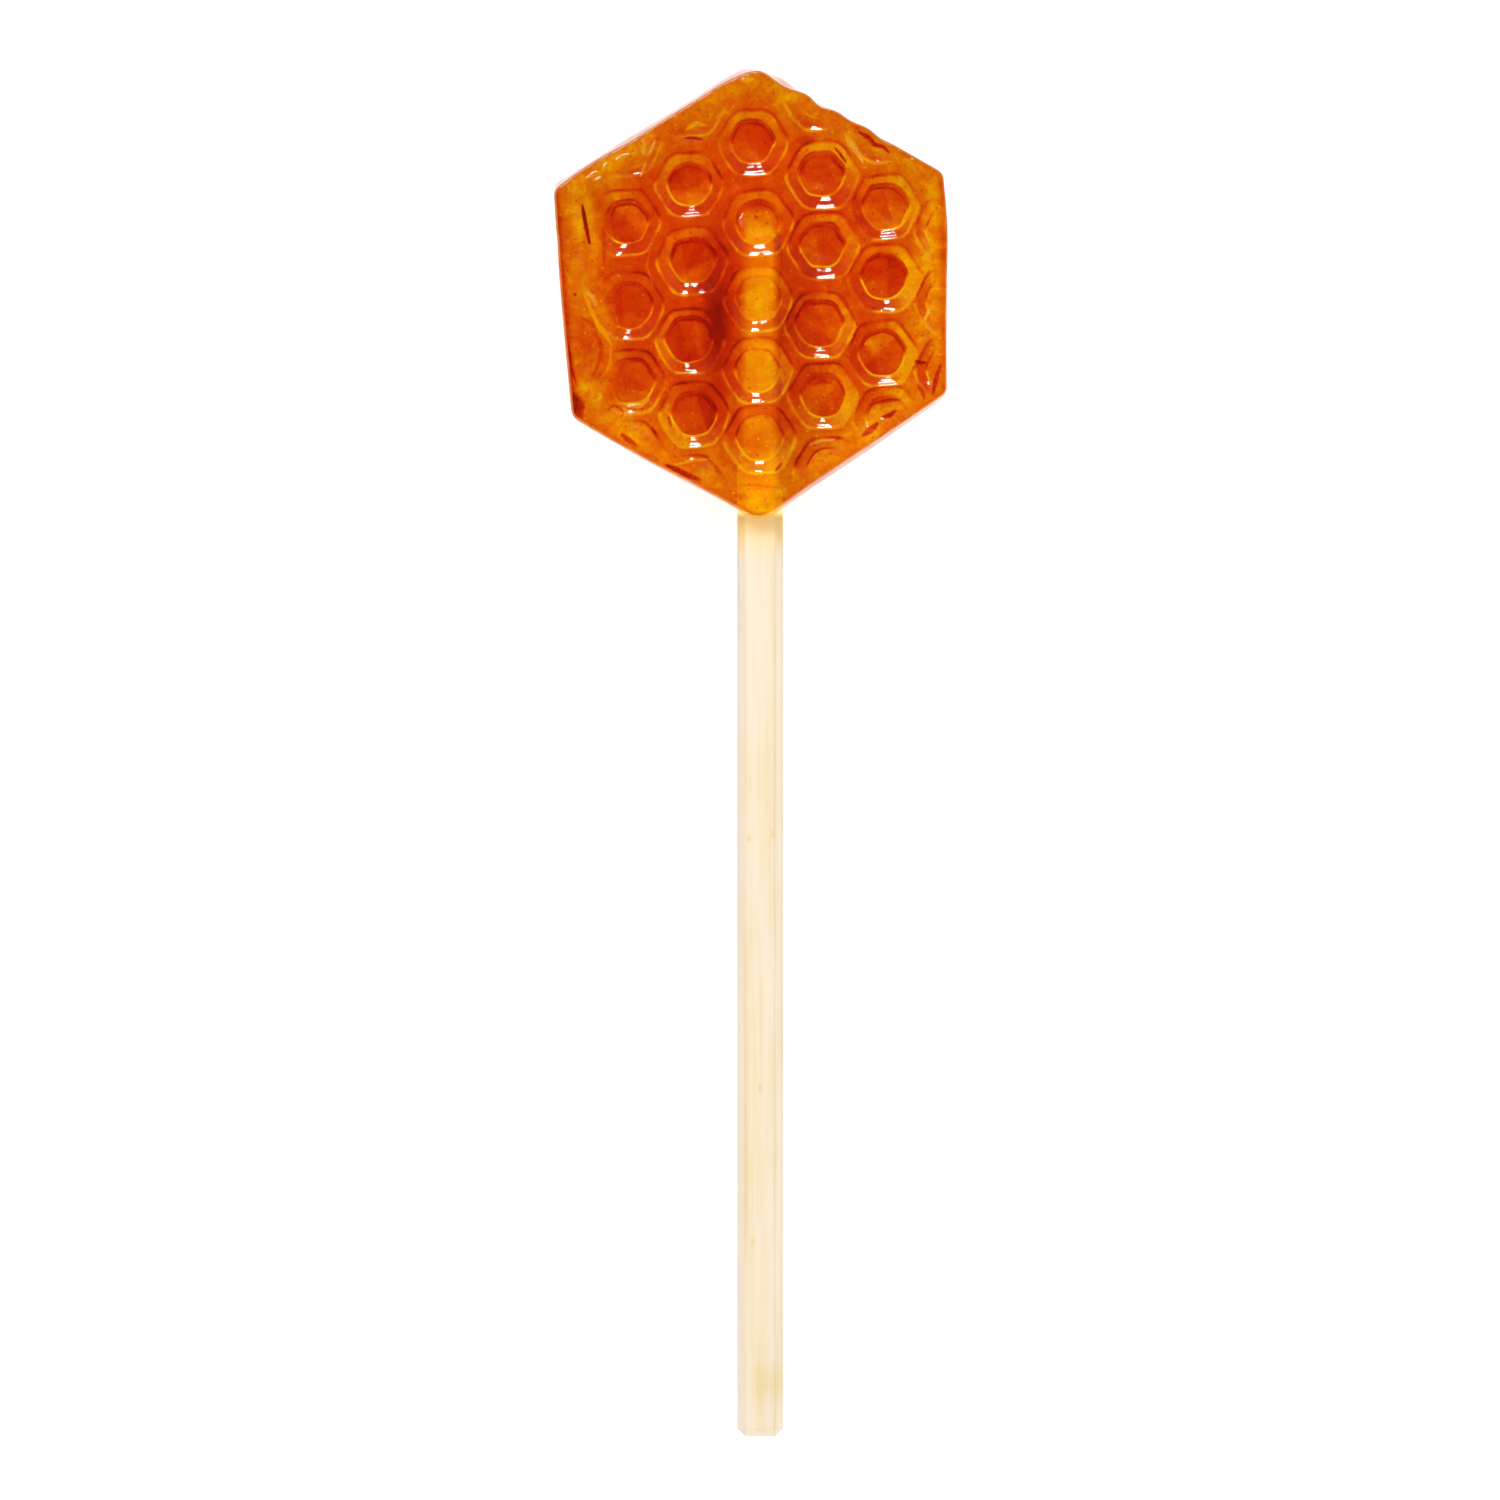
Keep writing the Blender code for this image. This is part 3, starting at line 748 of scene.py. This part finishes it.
print("comb pressed, lowest point of the face:", round(points[on_face, 2].min() / MM, 2), "mm")

# %% Keep the tones on the points
BACK_TONE = 0.22


def store(piece, name, values):
    """Keeps values on a piece's points for its finish: single ones, or columns of three."""
    kind, key = ("FLOAT", "value") if values.ndim == 1 else ("FLOAT_VECTOR", "vector")
    piece.data.attributes.new(name, kind, "POINT").data.foreach_set(key, values.ravel())


store(candy, "rings", np.stack([np.where(on_face, lip, FAR_LIP), foot, share], 1))
calm = over_stick(x, y)
calmed = [painted_glow * (1 - 0.5 * calm), lines * (1 - 0.4 * calm), refraction_patches * (1 - 0.85 * calm)]
store(candy, "tones", np.stack(calmed, 1))
store(candy, "marks", np.stack([np.where(on_face, edge, FAR_EDGE), mark, relief], 1))
up = points[:, 2] / THICKNESS
above_stick = bell(x - STICK_X, 2.6) * smooth(-y - 17.0)
wall_tone = BACK_TONE - 0.15 * above_stick * smooth((up - 0.6) / 0.2)
store(candy, "broad", np.where(on_face, broad_tone(x, y, foot) + wide_tone, wall_tone))
# Painted reflection: the side walls take a mauve tint for the pale paper they mirror, more on the upper
# sides, less at the lip and above the stick.
facing_up = smooth((np.abs(y) + y) / 12.0)
reflection_mask = smooth((up - 0.60) / 0.08) * (1 - above_stick) * (0.4 + 0.6 * facing_up)
reflection_mask *= 1 - 0.6 * smooth((up - 0.975) / 0.015)
store(candy, "sides", np.where(on_face, 0.0, reflection_mask))
select_only(candy)
bpy.ops.object.shade_smooth()
print("tones kept on", len(points), "points")

# %% [markdown]
# ## The stick
# The real stick is a square bar of birch whose four long edges are cut off, with broken end edges and a
# rounded end inside the candy. A cube at its size is bevelled along its long edges, and its inner end is
# then extruded in small steps, each a little narrower. A last soft bevel catches light as sanded wood does.

# %% A bar with its long edges cut off
STICK_CUT = 0.78 * MM
END_ROUND = 1.3 * MM
stick_centre = (stick_low + stick_high - Vector((0, END_ROUND, 0))) / 2
stick_size = stick_high - stick_low - Vector((0, END_ROUND, 0))
deselect()
bpy.ops.mesh.primitive_cube_add(size=1.0, location=stick_centre, scale=stick_size)
stick = bpy.context.object
stick.name = "wooden_stick"
bpy.ops.object.transform_apply(location=True, rotation=True, scale=True)
enter("EDIT")
bpy.ops.mesh.select_all(action="DESELECT")
enter("OBJECT")
for edge in stick.data.edges:
    a, b = (stick.data.vertices[index].co for index in edge.vertices)
    edge.select = abs(a.y - b.y) > 0.5 * stick_size.y
enter("EDIT")
bpy.ops.mesh.select_mode(type="EDGE")
bpy.ops.mesh.bevel(offset=STICK_CUT, offset_type="OFFSET", segments=1)
bpy.ops.mesh.select_all(action="DESELECT")
enter("OBJECT")
print("bar:", [round(side / MM, 2) for side in stick_size], "mm")

# %% The rounded end inside the candy
END_RINGS, RINGS_TO_QUARTER_TURN = 5, 5.6
END_CORE, END_TAPER = 0.55, 0.45
last_turn = math.pi / 2 * END_RINGS / RINGS_TO_QUARTER_TURN
for face in stick.data.polygons:
    face.select = face.center.y > stick_high.y - END_ROUND - 1e-6
enter("EDIT")
bpy.ops.mesh.select_mode(type="FACE")
axis_point = np.array([stick_centre.x, 0.0, stick_centre.z])
for step in range(1, END_RINGS + 1):
    bpy.ops.mesh.extrude_region()
    enter("OBJECT")
    points, chosen = chosen_points(stick.data)
    turn, before = (math.pi / 2 * part / RINGS_TO_QUARTER_TURN for part in (step, step - 1))
    shrink = (END_CORE + END_TAPER * math.cos(turn)) / (END_CORE + END_TAPER * math.cos(before))
    points[chosen] = axis_point + (points[chosen] - axis_point) * (shrink, 1, shrink)
    points[chosen, 1] = stick_high.y - END_ROUND * (1 - math.sin(turn) / math.sin(last_turn))
    write_points(stick.data, points)
    enter("EDIT")
enter("OBJECT")

# %% Softened edges
SOFT_EDGE = 0.16 * MM
soften = stick.modifiers.new("softened edges", "BEVEL")
soften.width = SOFT_EDGE
soften.segments = 3
soften.limit_method = "ANGLE"
soften.angle_limit = math.radians(20)
bpy.ops.object.modifier_apply(modifier=soften.name)
bpy.ops.object.shade_smooth_by_angle(angle=math.radians(25))
print("stick:", len(stick.data.polygons), "faces")


# %% [markdown]
# ## Finishes
# A finish is a sum of small effects, such as grain, streaks and specks. Written as node calls, such a sum
# is hard to read, so a small class lets a shader socket be used in Python's own sums.

# %% Shader helpers
class Wire:
    """A shader socket that can be used in sums."""

    def __init__(self, finish, socket):
        self.finish = finish
        self.socket = socket

    def maths(self, operation, *others):
        return self.finish.node("ShaderNodeMath", {"operation": operation}, [self, *others])

    def __add__(self, other):
        return self.maths("ADD", other)

    def __radd__(self, other):
        return self.maths("ADD", other)

    def __sub__(self, other):
        return self.maths("SUBTRACT", other)

    def __rsub__(self, other):
        return self.finish.node("ShaderNodeMath", {"operation": "SUBTRACT"}, [other, self])

    def __mul__(self, other):
        return self.maths("MULTIPLY", other)

    def __rmul__(self, other):
        return self.maths("MULTIPLY", other)


class Finish:
    """A material and the one method that adds its nodes."""

    def __init__(self, name):
        self.material = bpy.data.materials.new(name)
        self.material.use_nodes = True
        self.tree = self.material.node_tree
        self.surface = self.tree.nodes["Principled BSDF"]
        self.output = self.tree.nodes["Material Output"]

    def node(self, kind, settings, values, output=0):
        made = self.tree.nodes.new(kind)
        for name, setting in settings.items():
            setattr(made, name, setting)
        pairs = enumerate(values) if isinstance(values, list) else values.items()
        for key, value in pairs:
            if isinstance(value, Wire):
                self.tree.links.new(value.socket, made.inputs[key])
            else:
                made.inputs[key].default_value = value
        return Wire(self, made.outputs[output])

    def feed(self, name, value):
        if isinstance(value, Wire):
            self.tree.links.new(value.socket, self.surface.inputs[name])
        else:
            self.surface.inputs[name].default_value = value


# %% Steps, lines, noise and mixed colours
OBJECT_PLACE = 3
ATTRIBUTE_VECTOR, ATTRIBUTE_VALUE = 1, 2
CELL_COLOUR = 1
MIXED_COLOUR = 2


def soft_step(value, start, end):
    """0 before the start, 1 after the end, with a smooth way between. Works downward too."""
    return value.finish.node("ShaderNodeMapRange", {"interpolation_type": "SMOOTHSTEP"},
                             {"Value": value, "From Min": start, "From Max": end})


def line_at(value, centre, width):
    """1 where the value is the centre, falling off to either side like a bell."""
    away = (value - centre) * (1 / width)
    return (away * away * -1.0).maths("EXPONENT")


def noise(place, scale, detail, **more):
    """An uneven field between 0 and 1."""
    return place.finish.node("ShaderNodeTexNoise", {},
                             {"Vector": place, "Scale": scale, "Detail": detail, **more})


def bump(height, strength, distance):
    return height.finish.node("ShaderNodeBump", {},
                              {"Strength": strength, "Distance": distance, "Height": height})


def mix(factor, first, second):
    """The first colour where the factor is 0, the second where it is 1."""
    return factor.finish.node("ShaderNodeMix", {"data_type": "RGBA"},
                              {"Factor": factor, "A": first, "B": second}, MIXED_COLOUR)


def three_parts(vector):
    parts = vector.finish.node("ShaderNodeSeparateXYZ", {}, [vector])
    return [Wire(vector.finish, parts.socket.node.outputs[index]) for index in range(3)]


def object_place(finish):
    return finish.node("ShaderNodeTexCoord", {}, {}, OBJECT_PLACE)


def attribute_parts(finish, name):
    return three_parts(finish.node("ShaderNodeAttribute", {"attribute_name": name}, {}, ATTRIBUTE_VECTOR))


def attribute_value(finish, name):
    return finish.node("ShaderNodeAttribute", {"attribute_name": name}, {}, ATTRIBUTE_VALUE)


# %% [markdown]
# ## Clear honey candy
# Boiled sugar is a clear, glossy solid. It is made as glass that soaks up blue light inside, over white
# paper. Real honey candy loses green light sooner than red, so a longer way through it goes from yellow
# to orange and then to deep red. That way is the tone on the points, and a colour ramp holds what is left
# of the light after it. The tone also carries painted light and shade: the cells' glowing walls, lines
# and patchy floors, the clear rim and the stick's shadow. Crisp lines, specks, swirls and scratches are
# added to the tone.

# %% Candy: what changes over it
honey = Finish("clear honey candy")
lip, foot, share = attribute_parts(honey, "rings")
painted_glow, lines, refraction_patches = attribute_parts(honey, "tones")
broad = attribute_value(honey, "broad")
place = object_place(honey)
uneven = noise(place, 900.0, 3.0)
fine = noise(place, 2800.0, 2.0)
mark_edge, mark_tone, mark_relief = attribute_parts(honey, "marks")
mark_edge = mark_edge + (fine - 0.5) * 1.1 + (uneven - 0.5) * 1.0
swirl = noise(place, 420.0, 4.0, Distortion=2.5)
streak = noise(place, 380.0, 1.0)

# %% Candy: specks in its upper part
SPECKS_FROM, SPECKS_FULL = 6.4 * MM, 6.8 * MM
cells = {"Vector": place, "Scale": 1300.0}
flat_cells = {"voronoi_dimensions": "2D"}
speck_distance = honey.node("ShaderNodeTexVoronoi", flat_cells, cells)
speck_colour = honey.node("ShaderNodeTexVoronoi", flat_cells, cells, CELL_COLOUR)
speck_draw = honey.node("ShaderNodeSeparateColor", {}, [speck_colour])
height = three_parts(place)[2]
speck = soft_step(speck_distance, 0.15, 0.07) * soft_step(height, SPECKS_FROM, SPECKS_FULL)
dark_ones = soft_step(speck_draw, 0.70, 0.72)
bright_ones = soft_step(speck_draw, 0.86, 0.88)
specks = speck * (dark_ones - 1.9 * bright_ones)

# %% Candy: the sum of its tones
# Painted light and shade: the walls' glowing, the highlight and shade lines at lips and feet, and the
# refraction on the floors
band = soft_step(lip, 0.1, -0.1) * soft_step(foot, -0.1, 0.1)
floor_mask = soft_step(foot, 0.05, -0.15)
edge_lines = line_at(lip, -0.06, 0.15) + line_at(foot, 0.03, 0.12)
edge_lines = edge_lines * (soft_step(streak, 0.35, 0.65) * 0.7 + 0.35)
tone = broad + share * (band * painted_glow + floor_mask * refraction_patches - edge_lines * lines * 0.85)
tone = tone + (swirl - 0.5) * (0.28 - 0.1 * share) + (uneven - 0.5) * 0.3 + (fine - 0.5) * 0.25
mark = soft_step(mark_edge, 0.5, -0.8)
tone = tone + specks * 0.4 + mark * mark_tone * (fine * 1.6 + 0.2)

# %% Candy: from tone to colour
RED_LOSS, GREEN_LOSS = 0.67, 4.4
DARK_LOSS, DARK_FROM = 1.5, 0.8
BLUE_LEFT = 0.2
TONE_LENGTH, LONGEST = 1.2, 1.6
STOPS = 12
WALL_PAINTED_REFLECTION = (0.42, 0.33, 0.30, 1.0)
amber = honey.node("ShaderNodeValToRGB", {}, {"Fac": tone * (TONE_LENGTH / LONGEST)})
stops = amber.socket.node.color_ramp.elements
while len(stops) < STOPS:
    stops.new(0.5)
for index in range(STOPS):
    part = index / (STOPS - 1)
    length = LONGEST * part
    stops[index].position = part
    stops[index].color = (math.exp(-RED_LOSS * length - DARK_LOSS * max(length - DARK_FROM, 0) ** 2),
                          math.exp(-GREEN_LOSS * length), BLUE_LEFT, 1.0)
# The side walls are mixed to the painted reflection colour.
honey.feed("Base Color", mix(attribute_value(honey, "sides"), amber, WALL_PAINTED_REFLECTION))
print("deepest colour:", [round(amount, 3) for amount in stops[STOPS - 1].color[:3]])

# %% Candy: gloss, relief and depth
SUGAR_INDEX = 1.5
honey.feed("Roughness", (fine - 0.5) * 0.04 + 0.04)
ramp_up = honey.node("ShaderNodeMapRange", {}, {"Value": mark_edge, "From Min": 0.5, "From Max": -0.8})
relief_height = uneven * 0.006 + ramp_up * mark_relief * 0.8
honey.feed("Normal", bump(relief_height, 1.0, MM))
honey.feed("IOR", SUGAR_INDEX)
honey.feed("Transmission Weight", 1.0)
absorb = honey.node("ShaderNodeVolumeAbsorption", {},
                    {"Color": (0.998, 0.994, 0.0, 1.0), "Density": 1300.0})
honey.tree.links.new(absorb.socket, honey.output.inputs["Volume"])
candy.data.materials.append(honey.material)
print("candy's finish:", len(honey.tree.nodes), "nodes")

# %% [markdown]
# ## Birch
# Birch is pale, with long fine grain. Noise stretched along the stick makes the grain, streaks and
# blotches. Honey has crept a few millimetres up the wood below the candy, where its top is also painted
# lighter against the candy's shadow. Inside the candy the wood is soaked, and painted light as a glowing
# yellow stripe that shows through, with painted shade on its sides, so the colour follows the distance
# from the candy's end. The left facet carries painted shade as well.

# %% Wood: grain, vein and spots
PALE_WOOD = (0.53, 0.455, 0.345, 1.0)
WARM_WOOD = (0.49, 0.385, 0.215, 1.0)
WOOD_SPOTS = ((-0.14, -8.2), (2.1, -7.8), (0.9, -31.5), (0.2, -46.0))
wood = Finish("pale birch")
place = object_place(wood)
across, along, _ = three_parts(place)
drawn_out = wood.node("ShaderNodeMapping", {}, {"Vector": place, "Scale": (1.0, 0.03, 1.0)})
longish = wood.node("ShaderNodeMapping", {}, {"Vector": place, "Scale": (1.0, 0.2, 1.0)})
blotches = noise(longish, 420.0, 4.0)
grain = noise(drawn_out, 2600.0, 4.0)
streaks = noise(drawn_out, 900.0, 2.0)
vein = line_at(across, -0.45 * MM, 0.3 * MM) * soft_step(along, -50 * MM, -44 * MM)
vein = vein * soft_step(along, -14 * MM, -22 * MM)
patch = line_at(along, -59 * MM, 1.6 * MM) * soft_step(across, 0.0, 0.8 * MM)
weight = (grain - 0.5) * 1.3 + (streaks - 0.5) * 1.4 + (blotches - 0.5) * 1.8
weight = weight + vein * 0.7 + patch * 0.7 + 0.25
for spot_x, spot_y in WOOD_SPOTS:
    spot = line_at(across, spot_x * MM, 0.18 * MM) * line_at(along, spot_y * MM, 0.3 * MM)
    weight = weight + spot * 1.6
pale = mix(weight, PALE_WOOD, WARM_WOOD)

# %% Wood: the cut-off edges
LEFT_PAINTED_SHADE = (0.40, 0.34, 0.27, 1.0)
EDGE_BROWN = (0.30, 0.22, 0.13, 1.0)
axis = (stick_low.x + stick_high.x) / 2
off_axis = (across - axis).maths("ABSOLUTE")
# Painted shade: the left facet is darker and greyer.
on_left = soft_step(across - axis, -1.35 * MM, -1.55 * MM)
shaded_wood = mix(on_left * 0.7, pale, LEFT_PAINTED_SHADE)
facet_lines = line_at(off_axis, 1.37 * MM, 0.08 * MM) * 0.5
facet_lines = facet_lines + line_at(off_axis, 2.12 * MM, 0.12 * MM)
lined = mix(facet_lines * (streaks * 0.7 + 0.1), shaded_wood, EDGE_BROWN)

# %% Wood: honey on it below the candy, with painted light
CANDY_END = CANDY_CENTRE.y - 21.1 * MM
HONEYED_EDGE = (0.56, 0.36, 0.10, 1.0)
HONEY_TOP_PAINTED_LIGHT = (0.72, 0.48, 0.18, 1.0)
DRIBBLE = (0.50, 0.33, 0.10, 1.0)
# The honey stain below the candy, with its top facet painted lighter where the candy's shadow falls: a
# stain with painted light, and darker amber edges.
honey_and_painted_light = soft_step(along, CANDY_END - 4.6 * MM, CANDY_END + 0.5 * MM)
on_top = soft_step(off_axis, 1.5 * MM, 1.2 * MM)
stained_and_lit = mix(honey_and_painted_light, lined, mix(on_top, HONEYED_EDGE, HONEY_TOP_PAINTED_LIGHT))
dribble = line_at(off_axis, 1.72 * MM, 0.25 * MM)
dribble = dribble * soft_step(along, CANDY_END - 5 * MM, CANDY_END - MM)
stained_and_lit = mix(dribble * (grain * 0.8 + 0.3), stained_and_lit, DRIBBLE)
print("the candy ends at", round(CANDY_END / MM, 1), "mm")

# %% Wood: soaked inside the candy, with a painted glowing stripe and painted shade on its sides
SOAKED_PAINTED_GLOW = (0.98, 0.82, 0.3, 1.0)
SIDE_PAINTED_SHADE = (0.7, 0.25, 0.02, 1.0)
DEEP_END = (0.75, 0.22, 0.0, 1.0)
inside_glow = soft_step(along, CANDY_END - 0.3 * MM, CANDY_END + 0.6 * MM)
well_in = soft_step(along, CANDY_END + 0.6 * MM, CANDY_END + 4 * MM)
right_side = soft_step(across - axis, -0.5 * MM, 0.5 * MM)
# Painted shade: the stick's sides inside the candy darken to deep red, more on the right.
shaded = soft_step(off_axis, 0.9 * MM, 2.15 * MM) * well_in * (right_side * 0.6 + 0.4)
end_fade = soft_step(along, stick_high.y - 1.4 * MM, stick_high.y - 0.1 * MM)
soaked_and_glowing = mix(inside_glow, stained_and_lit, SOAKED_PAINTED_GLOW)
deep = mix(shaded * 0.9, soaked_and_glowing, SIDE_PAINTED_SHADE)
deep = mix(end_fade * (streaks * 0.8 + 0.2), deep, DEEP_END)
wood.feed("Base Color", deep)
wood.feed("Roughness", (grain - 0.5) * 0.3 + 0.6)
wood.feed("Normal", bump(grain, 0.5, 0.04 * MM))
stick.data.materials.append(wood.material)
print("wood's finish:", len(wood.tree.nodes), "nodes")

# %% [markdown]
# ## Paper, lights and camera
# The sweet lies on white paper, lit until the paper is pure white. Clear candy shows what it mirrors, so
# each softbox is placed for its reflection: small ones at the far side draw the white bars on the lower
# walls of the cells. Wide ones at both sides light the paper, and would be a glare on the glossy face seen
# from behind, so they aren't mirrored. The camera looks straight down.

# %% Floor
PAPER_WHITE = (0.94, 0.94, 0.97, 1.0)
PAPER_GLOW = (1.0, 1.0, 1.2, 1.0)
deselect()
bpy.ops.mesh.primitive_plane_add(size=6.0, location=(0, 0, -0.02 * MM))
floor = bpy.context.object
floor.name = "white_paper"
paper = Finish("white paper")
paper.feed("Base Color", PAPER_WHITE)
fibres = noise(object_place(paper), 1500.0, 3.0)
paper.feed("Roughness", (fibres - 0.5) * 0.1 + 0.9)
paper.feed("Normal", bump(fibres, 0.3, 0.01 * MM))
paper.feed("Emission Color", PAPER_GLOW)
paper.feed("Emission Strength", 0.3)
paper.feed("Specular IOR Level", 0.0)
floor.data.materials.append(paper.material)

# %% The studio round it
STUDIO_STRENGTH = 2.1
# How high up the studio is, from 0 level with the candy to 1 overhead, and how bright it is there
STUDIO_GREYS = [(0.26, 0.35), (0.70, 0.02), (0.38, 1.0), (0.52, 1.0)]
scene = bpy.context.scene
world = bpy.data.worlds.new("studio")
scene.world = world
world.use_nodes = True
sky = world.node_tree
direction = sky.nodes.new("ShaderNodeTexCoord")
parted = sky.nodes.new("ShaderNodeSeparateXYZ")
ramp = sky.nodes.new("ShaderNodeValToRGB")
greys = ramp.color_ramp.elements
for index, (position, grey) in enumerate(STUDIO_GREYS):
    stop = greys.new(position) if index == len(greys) else greys[index]
    stop.position = position
    stop.color = (grey, grey, grey, 1.0)
sky.links.new(direction.outputs["Generated"], parted.inputs["Vector"])
sky.links.new(parted.outputs["Z"], ramp.inputs["Fac"])
sky.links.new(ramp.outputs["Color"], sky.nodes["Background"].inputs["Color"])
sky.nodes["Background"].inputs["Strength"].default_value = STUDIO_STRENGTH
print("studio's brightness:", [(round(stop.position, 2), round(stop.color[0], 2)) for stop in greys])

# %% Lamps
LAMP_DISTANCE = 1.0
# Name, azimuth, elevation, width, height, radiance, and whether gloss mirrors it
LAMPS = [
    ("top box", 93, 57, 0.08, 0.15, 40.0, True),
    ("overhead box", 90, 74, 0.8, 0.18, 0.2, True),
    ("side box", 128, 37, 0.40, 0.20, 14.0, True),
    ("key box", 100, 39, 0.4, 0.16, 13.0, True),
    ("far box", 90, 32, 0.6, 0.22, 9.0, True),
    ("left box", 210, 28, 0.6, 0.35, 9.5, False),
    ("right box", 330, 28, 0.6, 0.35, 10.0, False),
]


def softbox(name, azimuth, elevation, width, height, radiance, mirrored):
    """A rectangular lamp that faces the candy, mirrored in gloss or not. Azimuth 0 is +X, 90 is +Y."""
    data = bpy.data.lights.new(name, "AREA")
    data.shape = "RECTANGLE"
    data.size = width
    data.size_y = height
    data.energy = radiance * math.pi * width * height
    lamp = bpy.data.objects.new(name, data)
    scene.collection.objects.link(lamp)
    target = Vector((CANDY_CENTRE.x, CANDY_CENTRE.y, 0.0))
    flat = math.radians(azimuth)
    rise = math.radians(elevation)
    aim = Vector((math.cos(flat) * math.cos(rise), math.sin(flat) * math.cos(rise), math.sin(rise)))
    lamp.location = target + aim * LAMP_DISTANCE
    lamp.rotation_euler = aim.to_track_quat("Z", "Y").to_euler()
    lamp.visible_glossy = mirrored


for row in LAMPS:
    softbox(*row)
print("lamps:", len(LAMPS))

# %% Camera
FRAME_WIDTH = 140.45 * MM
CAMERA_HEIGHT = 0.9
CAMERA_PLACE = (-0.05 * MM, 0.05 * MM)
SENSOR_WIDTH = 36.0
camera_data = bpy.data.cameras.new("camera")
camera_data.sensor_width = SENSOR_WIDTH
camera_data.lens = SENSOR_WIDTH * (CAMERA_HEIGHT - THICKNESS / 2) / FRAME_WIDTH
camera_data.clip_start = 0.01
camera = bpy.data.objects.new("camera", camera_data)
camera.location = (*CAMERA_PLACE, CAMERA_HEIGHT)
scene.collection.objects.link(camera)
scene.camera = camera
scene.view_settings.view_transform = "Standard"
print("lens:", round(camera_data.lens, 1), "mm")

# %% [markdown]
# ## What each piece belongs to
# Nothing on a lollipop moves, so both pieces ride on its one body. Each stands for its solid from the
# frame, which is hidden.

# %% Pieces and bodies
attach(candy, "root")
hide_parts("candy")
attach(stick, "root")
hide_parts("stick")
